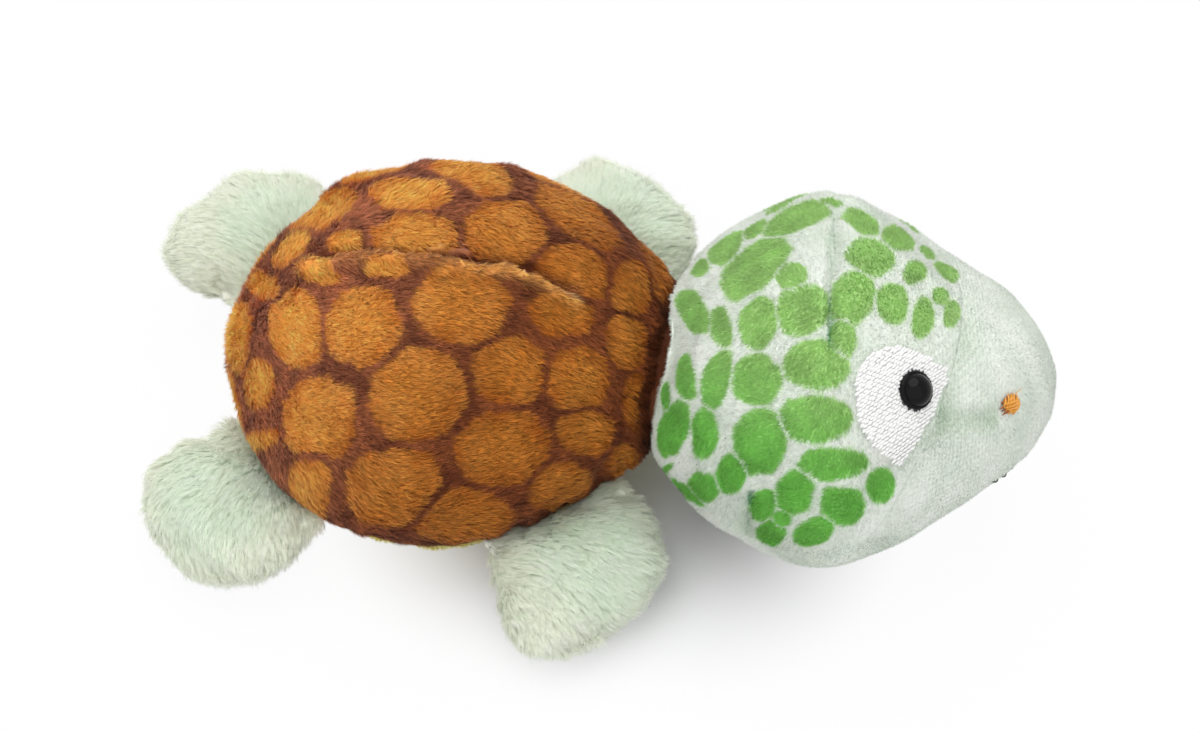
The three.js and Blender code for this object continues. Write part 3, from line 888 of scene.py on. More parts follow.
# Painted light and shade on the shell's print: how much it is lifted where the light falls, how much painted shade it
# takes towards the right front, and the painted shade next to the neck
shellShade = {"light": (1.3, 1.3, 1.36), "shadeFallsOff": (0.6, 0.76, 1.0), "toward": (0.7, -0.35, 0), "over": (-16, 16),
              "paintedNeckShade": 0.5, "awayFromNeck": (10.5, 15), "scutesFrom": (12.5, 15)}
# Painted shade, painted light and a painted highlight along the long fold: a painted shade in the valley, a lip
# painted lighter, partly for its paler backing and partly for the light it catches, and a painted highlight on the
# ridge; for each, the colour, how far across it lies, how wide and how strong it is
foldShadeAndLight = [("networkDeep", -0.5, 1.0, 0.75), ("lip", 2.0, 0.9, 0.8), ("ridgeHighlight", 1.2, 0.35, 0.45)]


def shellPrint(points, marks, fold):
    inside, ochre = printedShare(points, points, marks, scuteOutline)
    # no scutes where the shell turns in to the neck, and painted shade darkens the print there, in the crease against
    # the head
    far = fromNeck(points)[1]
    ochre *= smoothly(far[:, 0], *shellShade["scutesFrom"])
    colours = {key: linear(value) for key, value in shellColours.items()}
    middling = smoothly(1 - inside, 0, 0.6)[:, None]
    patchy = np.clip(0.5 + 0.35 * waves(points, 8, 23) + 0.25 * waves(points, 3, 24), 0, 1)[:, None]
    scute = colours["scuteEdge"] * (1 - middling) + colours["scute"] * middling
    scute = scute * (1 - 0.55 * patchy) + colours["scuteMiddle"] * 0.55 * patchy
    network = colours["network"] * (1 - patchy) + colours["networkDeep"] * patchy
    # painted light and shade: the nap lies away from the light on the right front, so the print is painted darker and
    # deeper there, and lifted on the top left where the light falls
    paintedShadeShare = smoothly(points @ shellShade["toward"], *shellShade["over"])[:, None]
    light = shellShade["light"] - paintedShadeShare * shellShade["shadeFallsOff"]
    # painted shade, darkest next to the neck
    dark = shellShade["paintedNeckShade"]
    paintedNeckShade = dark + (1 - dark) * smoothly(far, *shellShade["awayFromNeck"])
    tints = (network + (scute - network) * ochre[:, None]) * light * paintedNeckShade
    # painted shade in the fold's valley, painted light on its lip and a painted highlight on its ridge
    across, along, length = acrossLine(points, points - (0, 0, body["widest"]), fold)
    ends = fadedEnds(along, length, 3, 5)
    fadedLip = 1 - 0.55 * smoothly(along, 18, 26)
    for name, at, wide, share in foldShadeAndLight:
        if name == "lip":
            share = share * fadedLip
        there = share * ends * np.exp(-((across - at) / wide) ** 2)
        tints = tints + (colours[name] - tints) * there[:, None]
    return tints


def combAlong(rows, toward, swirl, seed):
    drift = np.stack([waves(rows, 22, seed + k) for k in range(3)], -1)
    return unit(np.asarray(toward, float) + swirl * drift)


def shellComb(rows):
    # as seen, the pile runs to the right and down, and to the right and up on the near front quarter
    right, up, _ = viewAxes()
    x, y = rows[..., 0], rows[..., 1]
    slope = np.radians(-18 - 18 * smoothly(x, 4, 30) + 48 * smoothly(-y, 10, 22) * smoothly(x, -8, 6))
    return right * np.cos(slope)[..., None] + up * np.sin(slope)[..., None]


def makeBody():
    rows = makeBodyRows()
    seamRow = body["bellyRows"]
    fine = finerGrid(rows, body["finer"])
    tree = surfaceTree(fine)
    for line in shellLines:
        fine = sewLine(fine, tree, line)
    fine = hollowedForNeck(fine, neck["gap"])
    printed = surfaceTree(fine)
    marks = mirroredToo([markAt(printed, scuteRoom["most"], *scute) for scute in scutes], scuteRoom["apart"], printed)
    marks = filledIn(marks, printed)
    fold = pathOn(tree, shellLines[0]["pixels"])
    cut = seamRow * body["finer"]
    belly, shell = fine[:cut + 1], fine[cut:]
    # the shell's fabric turns in at its side seam
    shell = swollen(shell, -0.4 * (1 - smoothly(np.arange(len(shell)), 0, 5)[:, None]))

    def shellTint(points):
        return shellPrint(points, marks, fold)

    def bellyTint(points):
        return linear(shellColours["belly"]) * (1 + 0.05 * waves(points, 5, 31))[:, None]

    # the pile covers the collar too, but not the bowl behind it
    clear = {}
    for label, part in (("shell", shell), ("belly", belly)):
        clear[label] = fromNeck(part)[1][..., 0] > neck["radius"] + collar["pileGapShare"] * neck["gap"]
    shellSkin = fabricPiece("shell_skin", shell, body["fabric"], "shellBacking", shellTint)
    bellySkin = fabricPiece("belly_skin", belly, body["fabric"], "shellBacking", bellyTint)
    comb = combAlong(shell, shellComb(shell), 0.25, 41)
    pieces = growPile("shell_pile", shell, shellTint, comb, shellPile, 1, clear["shell"])
    comb = combAlong(belly, unit(belly * (1, 1, 0) + (0, 0, -6)), 0.3, 44)
    pieces += growPile("belly_pile", belly, bellyTint, comb, bellyPile, 2,
                       clear["belly"] & (belly[..., 2] > 0.8))
    for piece in (shellSkin, bellySkin, *pieces):
        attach(piece, "body")
    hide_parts("shell_cover")
    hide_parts("belly_cover")
    return fine[::body["finer"], ::body["finer"]]


bodyRows = makeBody()
print("body made")


# Head: an egg with a blunt snout, turned and leaning as it lies

head = {
    "length": 65.5,
    "halfWidth": 32.3,
    "halfHeight": 27.8,
    "pressed": 0.7,
    "turn": 8,
    "lean": -22,
    "aside": -2,
    "intoShell": 6.5,
    "fullestShare": 0.45,
    "outlineShares": [(0, 0), (0.015, 0.27), (0.065, 0.49), (0.16, 0.71), (0.31, 0.91), (0.45, 1), (0.6, 0.9),
                      (0.715, 0.745), (0.815, 0.61), (0.91, 0.44), (0.975, 0.23), (1, 0)],
    "seamShare": 0.618,
    "seamLean": 27,
    "columns": 96,
    "crownRows": 40,
    "faceRows": 22,
    "finer": 3,
    "fabric": 0.7,
    "sunkStart": 0.4,
    "plumpMost": 0.9,
    "stillNearNeck": 15,
    "stillBesideDart": 1.2,
    "stillBehindShare": 0.32,
    "lumps": 0.2,
    "neckClear": 0.9,
    "pileFromNeck": 1.2,
    "neckTurn": 12,
    "neckLift": 14,
    "neckBow": 8,
}

velour = {
    "finish": "velourPile", "perSquare": 62, "length": 0.42, "width": 0.12, "steps": 1, "inTuft": 5,
    "sway": 0.14, "tuftSway": 0.1, "stand": 0.42, "combed": 0.7, "gather": 0.2, "roll": 0.25,
    "fleck": 0.05, "rootShade": 0.98, "tipShade": 1.03, "smooth": 3.5,
}


def headFrame():
    lean, turn = math.radians(head["lean"]), math.radians(head["turn"])
    lowest = math.hypot(head["halfWidth"] * math.sin(lean), head["halfHeight"] * math.cos(lean))
    x = body["halfLength"] - head["intoShell"] + head["fullestShare"] * head["length"]
    turned = Matrix.Rotation(turn, 3, "Z") @ Matrix.Rotation(lean, 3, "X")
    return np.array(turned), np.array([x, head["aside"], lowest - head["pressed"]])


headTurned, headMiddle = headFrame()


def headOutline():
    points = np.array(head["outlineShares"], float)
    fine = refined(points, 60, 0, False)
    return fine[:, 0], fine[:, 1], walkedAlong(fine * (head["length"], head["halfWidth"]))


def headPoints(alongShares, angles, outward=0.0):
    along, out, _ = headOutline()
    outShare = np.interp(alongShares, along, out)
    local = np.stack([
        -head["fullestShare"] * head["length"] - outward + alongShares * (head["length"] + 2 * outward),
        (head["halfWidth"] + outward) * outShare * np.cos(angles),
        (head["halfHeight"] + outward) * outShare * np.sin(angles),
    ], -1)
    return local


def placedHead(local):
    return local @ headTurned.T + headMiddle


def inHead(points):
    return (points - headMiddle) @ headTurned


crownPile = dict(velour, length=0.8, width=0.13, perSquare=50, fleck=0.1, combed=0.9, tipShade=1.05)


def clearOfBody(points):
    # the back of the head is pressed in by the shell, and stays clear of it as the neck turns and nods
    limits = [(0, 0)] + [(turn, nod) for turn in (head["neckTurn"], -head["neckTurn"])
                         for nod in (head["neckBow"], -head["neckLift"])]
    gap = head["neckClear"]
    wide, paintedShadeShare = body["halfLength"] + gap, body["halfWidth"] + gap
    for turn, nod in limits:
        moved = np.array(Matrix.Rotation(math.radians(turn), 3, "Z") @ Matrix.Rotation(math.radians(nod), 3, "Y"))
        there = (points - neckCentre) @ moved.T + neckCentre
        level = there[..., 2] - body["widest"]
        tall = np.where(level < 0, body["drop"], body["rise"]) + gap
        flat = np.hypot(there[..., 0] / wide, there[..., 1] / paintedShadeShare)
        flat /= reachShare(np.arctan2(there[..., 1] / paintedShadeShare, there[..., 0] / wide))
        share = np.hypot(flat, level / tall)
        push = np.maximum(1 / np.maximum(share, 1e-6), 1)[..., None]
        out = np.stack([there[..., 0], there[..., 1], level], -1) * push
        out[..., 2] += body["widest"]
        points = (out - neckCentre) @ moved + neckCentre
    return points


headLines = [
    # the dart on the crown
    {"pixels": [(837, 198), (834, 240), (832, 280), (831, 315), (831, 352)],
     "depth": 0.9, "width": 0.6, "lip": 0.2, "fade": 4, "pucker": 0.1, "reach": 2.5, "pitch": 5},
    # the dart below
    {"pixels": [(754, 489), (750, 508), (748, 535)], "depth": 0.8, "width": 0.6, "lip": 0.2, "fade": 3},
    # the seam of the snout, over the top and down to the eye
    {"pixels": [(951, 268), (960, 292), (966, 316), (965, 336), (956, 365), (945, 395), (939, 425)],
     "depth": 0.45, "width": 2.2, "fade": 6},
    # the crease from the eye towards the nostril
    {"pixels": [(936, 414), (960, 419), (984, 420), (1004, 414)], "depth": 0.7, "width": 1.6, "fade": 4},
]


# Where the filling pushes the head out or leaves it hollow: the pixel, the height and how wide
headPlaces = [((838, 206), 1.6, 5), ((735, 240), -1.0, 11), ((673, 290), -2.4, 9), ((664, 350), -1.8, 8),
              ((962, 268), -1.7, 9), ((1032, 318), -0.9, 7), ((1004, 486), 1.1, 6)]


def makeHeadRows():
    along, out, walked = headOutline()
    angles = turnsOf(head["columns"])
    slant = math.tan(math.radians(head["seamLean"]))
    seamX = (head["seamShare"] - head["fullestShare"]) * head["length"]
    rows = np.zeros((head["crownRows"] + head["faceRows"] + 1, len(angles), 3))
    for column, angle in enumerate(angles):
        x = (along - head["fullestShare"]) * head["length"]
        z = head["halfHeight"] * out * math.sin(angle)
        behind = x - seamX - z * slant
        crossing = np.flatnonzero((behind[:-1] < 0) & (behind[1:] >= 0))[-1]
        seamWalk = np.interp(0, behind[crossing:crossing + 2], walked[crossing:crossing + 2])
        steps = np.concatenate([np.linspace(0, seamWalk, head["crownRows"] + 1),
                                np.linspace(seamWalk, walked[-1], head["faceRows"] + 1)[1:]])
        shares = np.interp(steps, walked, along)
        rows[:, column] = headPoints(shares, angle, -head["sunkStart"])
    rows = clearOfBody(placedHead(rows))
    rows[..., 2] = np.maximum(rows[..., 2], 0)
    held = np.zeros(rows.shape[:2])
    held[rows[..., 2] < 0.3] = 1
    held[fromNeck(rows)[1][..., 0] < head["stillNearNeck"]] = 1
    held[inHead(rows)[..., 0] < -head["stillBehindShare"] * head["length"]] = 1
    holdAlong(held, rows, headLines[:2], 4, head["stillBesideDart"])
    rows = plumped(rows, held, head["plumpMost"])
    rows = raisedAt(rows, headPlaces)
    bumps = (waves(rows, 14, 51) + 0.4 * waves(rows, 6, 52)) * head["lumps"] * smoothly(rows[..., 2], 1, 8)
    return swollen(rows, bumps)


# Printed spots: the middle, the width and height, and the slant in degrees of each, as they are seen
spots = [
    ((757, 379), (51, 53), -12), ((816, 363), (66, 50), -4), ((815, 418), (72, 48), 0), ((760, 444), (56, 68), -8),
    ((833, 463), (74, 34), 0), ((881, 484), (29, 38), 0), ((796, 493), (39, 45), -14), ((844, 506), (45, 39), 0),
    ((815, 533), (44, 26), 24), ((771, 534), (30, 21), -14), ((762, 507), (27, 34), -28), ((783, 519), (20, 18), 0),
    ((732, 473), (32, 43), -12), ((703, 487), (33, 42), -34), ((668, 470), (20, 24), 0), ((704, 432), (27, 51), -4),
    ((673, 429), (31, 58), -14), ((718, 380), (29, 64), -12), ((687, 376), (20, 48), 6), ((759, 321), (39, 52), -14),
    ((722, 326), (21, 43), 8), ((803, 309), (54, 50), 12), ((792, 277), (32, 28), 10), ((756, 264), (92, 40), 40),
    ((796, 220), (70, 24), 22), ((854, 296), (42, 56), -22), ((844, 336), (26, 40), 8), ((873, 256), (47, 36), -14),
    ((893, 303), (32, 44), 4), ((916, 271), (23, 38), -22), ((924, 316), (22, 47), -6), ((862, 223), (40, 20), -34),
    ((899, 238), (34, 20), -34), ((945, 272), (30, 14), -38), ((926, 253), (20, 12), -42), ((941, 296), (18, 18), 0),
    ((952, 313), (17, 28), -8), ((832, 203), (44, 8), -4), ((696, 312), (28, 62), 24), ((727, 246), (44, 18), 42),
    ((702, 268), (22, 20), 40), ((757, 229), (28, 11), 36), ((690, 492), (16, 14), 0), ((666, 395), (10, 30), 0),
]
spotRoom = {"most": 6.5, "apart": 6.5}
spotOutline = {"roundness": 2.1, "wobble": [(0.05, 5, 61), (0.02, 1.6, 62)], "edge": (0.96, 1.07),
               "gap": (0.02, 0.14)}
headColours = {
    "ground": (240, 244, 237),
    "groundShade": (229, 236, 226),
    # the spot colour lit from above and shaded below, as painted light
    "spotAbove": (168, 208, 128),
    "spotBelow": (128, 200, 92),
    "rim": (192, 224, 154),
    # the colour of the painted shade beside seams and creases
    "crease": (212, 226, 210),
    "thread": (70, 150, 92),
}
# Seams and creases in the pile: how dark the thread shows, and how wide the painted shade beside it is
headShades = [
    {"pixels": [(831, 296), (831, 320), (831, 352)], "thread": 0.9, "half": 0.2, "shade": 0.3, "reach": 1.2},
    {"pixels": [(834, 214), (833, 250), (831, 296)], "thread": 0.3, "half": 0.14, "shade": 0.15, "reach": 1.0},
    {"pixels": [(754, 489), (751, 498), (750, 506)], "thread": 0.8, "half": 0.35, "shade": 0.3, "reach": 1.0},
    {"pixels": [(750, 506), (749, 520), (748, 535)], "thread": 0.2, "half": 0.2, "shade": 0.4, "reach": 1.2},
    {"pixels": [(936, 414), (960, 419), (984, 420), (1000, 416)], "thread": 0, "half": 0.2, "shade": 0.6,
     "reach": 2.2},
    {"pixels": [(966, 316), (965, 336), (956, 365), (945, 395), (936, 426), (921, 452)], "thread": 0, "half": 0.2,
     "shade": 0.4, "reach": 2.2},
]


def shaded(points, colours, tree):
    crease, thread = linear(headColours["crease"]), linear(headColours["thread"])
    for line in headShades:
        path = pathOn(tree, line["pixels"], 5)
        across, along, length = acrossLine(points, points - headMiddle, path)
        ends = fadedEnds(along, length, 0.8, 0.8)
        # painted shade beside each seam and crease
        paintedCreaseShade = line["shade"] * np.exp(-(across / line["reach"]) ** 2) * ends
        colours = colours + (colours * crease - colours) * paintedCreaseShade[:, None]
        dark = line["thread"] * (1 - smoothly(np.abs(across), line["half"] * 0.7, line["half"] * 1.4)) * ends
        colours = colours + (thread - colours) * dark[:, None]
    return colours


# The fine ribs of the snout's knit, which fade at both ends
ribs = {"pitch": 0.6, "shade": 0.1, "relief": 2.4, "from": (8, 16), "to": (20, 30)}


def ribbing(along):
    return np.stack([along * (2 * math.pi / ribs["pitch"]),
                     smoothly(along, *ribs["from"]) * (1 - smoothly(along, *ribs["to"]))])


def headPrint(points, marks, tree):
    local = inHead(points)
    colours = {key: linear(value) for key, value in headColours.items()}
    inside, green = printedShare(local, points, marks, spotOutline)
    rim = np.exp(-((inside - 0.97) / 0.07) ** 2)
    # painted light: the spots are lighter and yellower towards the top of the head, and deeper green below
    spotLitShare = smoothly(local[:, 2] + 0.1 * local[:, 0], -2, 20)[:, None]
    spot = colours["spotBelow"] * (1 - spotLitShare) + colours["spotAbove"] * spotLitShare
    patchy = np.clip(0.5 + 0.4 * waves(points, 9, 63), 0, 1)[:, None]
    ground = colours["ground"] + (colours["groundShade"] - colours["ground"]) * patchy
    phase, strength = ribbing(local[:, :1])
    # painted shade in stripes along the knit's ribs
    ground = ground * (1 + ribs["shade"] * strength * np.cos(phase))
    spot = spot * (1 + 0.08 * waves(points, 6, 64))[:, None]
    spot = spot + (colours["rim"] - spot) * (0.3 * rim)[:, None]
    return shaded(points, ground + (spot - ground) * green[:, None], tree)


def makeHead():
    rows = makeHeadRows()
    fine = finerGrid(rows, head["finer"])
    tree = surfaceTree(fine)
    for line in headLines:
        fine = sewLine(fine, tree, line)
    fine = clearOfNeck(fine, neck["headGap"])
    printed = surfaceTree(fine)
    found = [markAt(printed, spotRoom["most"], *spot) for spot in spots]
    marks = [(inHead(middle), wide @ headTurned, high @ headTurned) for middle, wide, high in found]
    marks = mirroredToo(marks, spotRoom["apart"], printed, placedHead)
    cut = head["crownRows"] * head["finer"]
    crown, face = fine[:cut + 1], fine[cut:]

    def headTint(points):
        return headPrint(points, marks, printed)

    clear = fromNeck(crown)[1][..., 0] > neck["radius"] + head["pileFromNeck"]
    # the fabric is drawn thin where the back of the head turns sharply in
    thin = np.interp(np.arange(cut + 1), (0, 0.3 * cut, 0.55 * cut), (0.15, 0.15, head["fabric"]))
    crownSkin = fabricPiece("head_skin", crown, thin, "velourBacking", headTint)
    faceSkin = fabricPiece("face_skin", face, head["fabric"], "velourBacking", headTint)
    forward = headTurned[:, 0]

    def ribbed(points):
        phase, strength = ribbing(inHead(points)[:, :1])
        return forward * np.sin(phase) * strength * ribs["relief"]

    comb = combAlong(fine, -0.5 * forward + np.array([0, -0.3, -0.5]), 0.5, 71)
    # the pile shortens towards the snout's seam, where the printed fabric meets the plain one
    shorter = np.broadcast_to(1 - 0.5 * smoothly(np.arange(cut + 1), cut - 12, cut)[:, None], crown.shape[:2])
    pieces = growPile("head_pile", crown, headTint, comb[:cut + 1], crownPile, 3, clear,
                      lengthShare=shorter)
    pieces += growPile("face_pile", face, headTint, comb[cut:], velour, 4, None, ribbed)
    for piece in (crownSkin, faceSkin, *pieces):
        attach(piece, "head")
    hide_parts("head_cover")
    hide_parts("face_cover")
    return fine[::head["finer"], ::head["finer"]], printed


headRows, headTree = makeHead()
print("head made")


# Flippers: a padded mitt each, with its root along the side seam

flipperForm = {
    "length": 26,
    "halfWidth": 13.2,
    "halfThickness": 5,
    "rootGap": 0.4,
    "shares": [(0, 0.86, 0.06), (0.05, 0.88, 0.28), (0.16, 0.93, 0.52), (0.34, 0.98, 0.84), (0.55, 1, 1),
               (0.74, 0.94, 0.92), (0.89, 0.74, 0.7), (0.97, 0.4, 0.4), (1, 0, 0)],
    "rows": 26,
    "columns": 48,
    "finer": 3,
    "fabric": 0.9,
    "plumpMost": 1.0,
    "bendsOver": 8,
}

flippers = [
    {"name": "front_right", "around": -50.5, "lengthShare": 0.79, "sweepShare": -0.21, "tilt": -13, "seed": 5,
     "nap": (0.9, 0.15, -0.1)},
    {"name": "rear_right", "around": -141, "lengthShare": 0.79, "sweepShare": -0.08, "tilt": -13, "seed": 6,
     "nap": (0.45, -0.35, -0.1)},
    {"name": "front_left", "around": 60, "lengthShare": 0.76, "sweepShare": 0.08, "tilt": 9, "seed": 7,
     "nap": (0.2, 0.1, 0.2)},
    {"name": "rear_left", "around": 144, "lengthShare": 0.95, "sweepShare": 0.24, "tilt": 12, "seed": 8,
     "nap": (-0.2, -0.1, 0.2)},
]

flipperPile = {
    "finish": "flipperPile", "perSquare": 58, "length": 3.0, "width": 0.12, "steps": 2, "inTuft": 14,
    "sway": 0.06, "tuftSway": 0.07, "stand": 0.25, "combed": 1.0, "gather": 0.35, "roll": 0.35,
    "fleck": 0.03, "rootShade": 0.97, "tipShade": 1.05, "smooth": 3.4,
}
# the hollow colour is painted shade
flipperColours = {"pile": (246, 253, 242), "hollow": (243, 252, 240), "cream": (252, 254, 242)}


def flipperFrame(flipper):
    sunk = (body["widest"] - body["seam"]) / body["drop"]
    share = math.sqrt(1 - sunk ** 2)
    around = math.radians(flipper["around"]) + np.array([-0.002, 0, 0.002])
    out = share * reachShare(around)
    before, seamPoint, after = np.stack([body["halfLength"] * out * np.cos(around),
                                         body["halfWidth"] * out * np.sin(around), 0 * out + body["seam"]], 1)
    outwards = unit(np.cross(after - before, (0, 0, 1)))
    heading = math.atan2(outwards[1], outwards[0])
    turned = Matrix.Rotation(heading, 3, "Z") @ Matrix.Rotation(-math.radians(flipper["tilt"]), 3, "Y")
    return np.array(turned), seamPoint + outwards * flipperForm["rootGap"]


def flipperRows(flipper, inset=0.0):
    shares = refined(np.array(flipperForm["shares"], float), 24, 0, False)
    length = flipper["lengthShare"] * flipperForm["length"]
    sweep = flipper["sweepShare"] * flipperForm["length"]
    walked = walkedAlong(shares[:, :2] * (length, flipperForm["halfWidth"]))
    steps = np.linspace(0, walked[-1], flipperForm["rows"] + 1)
    along, out, thick = (np.interp(steps, walked, shares[:, k]) for k in range(3))
    angles = turnsOf(flipperForm["columns"])
    width = (flipperForm["halfWidth"] - inset) * out
    depth = np.maximum(flipperForm["halfThickness"] * thick - inset, 0.1) * (thick > 0)
    aside = width[:, None] * np.cos(angles)
    # the corners of the root follow the side seam round
    tucked = aside ** 2 / (2 * body["halfWidth"]) * (np.maximum(1 - along / 0.4, 0) ** 1.5)[:, None]
    return np.stack([
        (inset + along * (length - 2 * inset))[:, None] - tucked,
        (sweep * along ** 2)[:, None] + aside,
        depth[:, None] * np.sin(angles),
    ], -1)


def makeFlipper(flipper):
    turned, root = flipperFrame(flipper)
    local = flipperRows(flipper)
    held = np.zeros(local.shape[:2])
    held[0] = 1
    held[:, [0, flipperForm["columns"] // 2]] = 1
    local = plumped(local, held, flipperForm["plumpMost"])
    fine = finerGrid(local, flipperForm["finer"])
    dimple = 0.45 * waves(fine, 9, 80 + flipper["seed"]) * smoothly(fine[..., 0], 1, 6)
    fine = swollen(fine, dimple)
    placed = fine @ turned.T + root
    placed[..., 2] = np.maximum(placed[..., 2], 0.1)
    colours = {key: linear(value) for key, value in flipperColours.items()}

    def tintAt(points):
        # painted shade: patches of the hollow colour, a little greener and darker, towards the middle; the outer part
        # is paler and creamier
        mixing = np.clip(0.5 + 0.4 * waves(points, 8, 90 + flipper["seed"]), 0, 1)[:, None]
        outer = smoothly(np.linalg.norm(((points - root) @ turned)[:, :2] - (9, 0), axis=1), 5, 14)[:, None]
        tints = colours["hollow"] + (colours["pile"] - colours["hollow"]) * np.maximum(mixing, outer)
        return tints + (colours["cream"] - tints) * 0.5 * outer

    fan = np.stack([np.full(fine.shape[:2], 10.0), fine[..., 1], 0 * fine[..., 2]], -1)
    comb = combAlong(placed, 0.7 * unit(fan) @ turned.T + flipper["nap"], 0.3, 100 + flipper["seed"])
    half = flipperForm["columns"] * flipperForm["finer"] // 2
    thin = np.clip(np.ptp(fine[..., 2], axis=1) * 0.3, 0.1, flipperForm["fabric"])
    wrapped = np.concatenate([placed, placed[:, :1]], 1)
    name = flipper["name"] + "_flipper"
    skins = []
    for label, columns in (("top", slice(0, half + 1)), ("underside", slice(half, 2 * half + 1))):
        skin = fabricPiece(f"{name}_{label}_skin", wrapped[:, columns], thin, "flipperBacking", tintAt, False)
        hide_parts(f"{name}_{label}")
        skins.append(skin)
    # no strands under the parts that press on the table
    pile = growPile(f"{name}_pile", placed, tintAt, comb, flipperPile, flipper["seed"], placed[..., 2] > 0.6)
    start, end = root * mm, (root + turned[:, 0] * flipperForm["bendsOver"]) * mm
    for piece in (*skins, *pile):
        tuple(start)
        tuple(end)
        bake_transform(piece)
    return turned, root


flipperPlaces = {flipper["name"]: makeFlipper(flipper) for flipper in flippers}
print("flippers made")


# Thread: each length runs over the fabric and dives into it at both ends

def sewnThreads(name, lines, normals, halfWidth, halfHeight, finish, around=6):
    count, steps = lines.shape[:2]
    forward = unit(np.gradient(lines, axis=1))
    side = unit(np.cross(forward, normals))
    up = np.cross(side, forward)
    taper = np.sqrt(1 - np.linspace(-0.96, 0.96, steps) ** 2)[:, None]
    turns = turnsOf(around)
    wide = (taper * np.cos(turns))[None, :, :, None] * np.reshape(halfWidth, (-1, 1, 1, 1))
    high = (taper * np.sin(turns))[None, :, :, None] * np.reshape(halfHeight, (-1, 1, 1, 1))
    points = lines[:, :, None] + side[:, :, None] * wide + up[:, :, None] * high
    tube = gridFaces(steps, around, True, 0, True)
    ring = np.arange(around)
    caps = np.stack([ring, ring[::-1] + (steps - 1) * around])
    starts = np.arange(count)[:, None, None] * (steps * around)
    return meshPiece(name, points.reshape(-1, 3),
                     [(tube[None] + starts).reshape(-1, 4), (caps[None] + starts).reshape(-1, around)], finish)


def onSide(points, side):
    # for the left side, points are mirrored over from the seen side, or back to it
    return placedHead(inHead(points) * (1, -1, 1)) if side == "left" else points


def seated(points, height, side="right"):
    # points found on the seen side of the head, laid on its skin there or on the other side
    points = onSide(points, side)
    found = [headTree.find_nearest(Vector(point))[:2] for point in points.reshape(-1, 3)]
    places, normals = (np.array(part).reshape(points.shape) for part in zip(*found))
    return places + normals * np.reshape(height, (*np.shape(height), 1)), normals


def insideOutline(points, outline):
    (x, y), inside = points.T, np.zeros(len(points), bool)
    for (x1, y1), (x2, y2) in zip(outline, np.roll(outline, -1, 0)):
        crosses = (y1 > y) != (y2 > y)
        inside ^= crosses & (x < (x2 - x1) * (y - y1) / (y2 - y1 if y2 != y1 else 1e-9) + x1)
    return inside


def onHead(piece, node):
    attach(piece, "head")
    if node:
        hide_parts(node)


# Eyes: a satin-stitched patch, a ring of black stitches, and a glossy bead on a stem
eye = {
    "outline": [(890, 347), (903, 349), (917, 353), (930, 360), (939, 366), (945, 370), (945, 380), (941, 388),
                (936, 402), (930, 416), (924, 425), (919, 433), (913, 445), (906, 454), (898, 463), (893, 461),
                (883, 455), (873, 445), (863, 431), (857, 416), (856, 396), (855, 381), (858, 370), (864, 361),
                (875, 352), (884, 348)],
    "middle": (897, 398),
    "patchHeight": 0.42,
    "patchThickness": 0.35,
    "beadAt": (913.5, 390.5),
    "beadRadius": 2.65,
    "rimRadius": 2.9,
    "rimStitches": 40,
    "rimOverlap": 1.0,
    "beadHeight": 2.2,
    "beadBase": 0.55,
    "stemRadius": 0.8,
    "stemLength": 5,
    "stitchSlant": 37,
    "stitchLength": 6.4,
    "stitchGap": 5.6,
    "rowGap": 2.75,
    "bareRadius": 13,
}


def eyePatchRows(side):
    outline = refined(np.array(eye["outline"], float), 4, 0, True)
    rings = np.concatenate([np.linspace(0, 0.86, 12), [0.93, 0.98, 1.0]])[:, None, None]
    pixels = np.array(eye["middle"]) + rings * (outline - eye["middle"])
    base = ontoSurface(headTree, pixels.reshape(-1, 2)).reshape(*pixels.shape[:2], 3)
    edge = np.sqrt(np.clip(1 - ((rings[..., 0] - 0.86) / 0.14).clip(0, 1) ** 2, 0, 1))
    height = np.broadcast_to(0.08 + (eye["patchHeight"] - 0.08) * edge, base.shape[:2])
    rows, _ = seated(base, height, side)
    return rows[:, ::-1] if side == "left" else rows


def patchStitches(side):
    rng = np.random.default_rng(31)
    slant = math.radians(eye["stitchSlant"])
    along, across = np.array([math.cos(slant), -math.sin(slant)]), np.array([math.sin(slant), math.cos(slant)])
    row, place = np.meshgrid(np.arange(-28, 29), np.arange(-14, 15), indexing="ij")
    place = place + (row % 3) / 3
    middles = (np.array(eye["middle"]) + place[..., None] * eye["stitchGap"] * along
               + row[..., None] * eye["rowGap"] * across).reshape(-1, 2)
    middles += rng.normal(size=middles.shape) * 0.25
    middles = middles[insideOutline(middles, np.array(eye["outline"], float))]
    middles = middles[np.linalg.norm(middles - eye["beadAt"], axis=1) > eye["bareRadius"]]
    turned = rng.normal(size=len(middles)) * 0.07
    direction = np.stack([np.cos(slant + turned), -np.sin(slant + turned)], 1)
    share = np.linspace(-0.5, 0.5, 6)[None, :, None]
    lengths = eye["stitchLength"] * rng.uniform(0.9, 1.12, len(middles))
    pixels = middles[:, None] + direction[:, None] * share * lengths[:, None, None]
    base = ontoSurface(headTree, pixels.reshape(-1, 2)).reshape(*pixels.shape[:2], 3)
    rise = eye["patchHeight"] + 0.05 + 0.1 * (1 - 4 * share[0, :, 0] ** 2) + rng.uniform(
        -0.03, 0.06, (len(middles), 1))
    lines, normals = seated(base, rise, side)
    return lines, normals


def beadProfile():
    rim, radius, high = eye["rimRadius"], eye["beadRadius"], eye["beadHeight"]
    profile = [(rim - 0.25, -0.35), (rim, -0.1), (rim, 0.25), (rim - 0.12, 0.48), (rim - 0.32, 0.55),
               (rim - 0.5, 0.5)]
    start = math.radians(16)
    slopes = np.linspace(start, math.pi / 2, 15)
    return profile + [((radius - 0.1) * math.cos(s), high * math.sin(s)) for s in slopes]


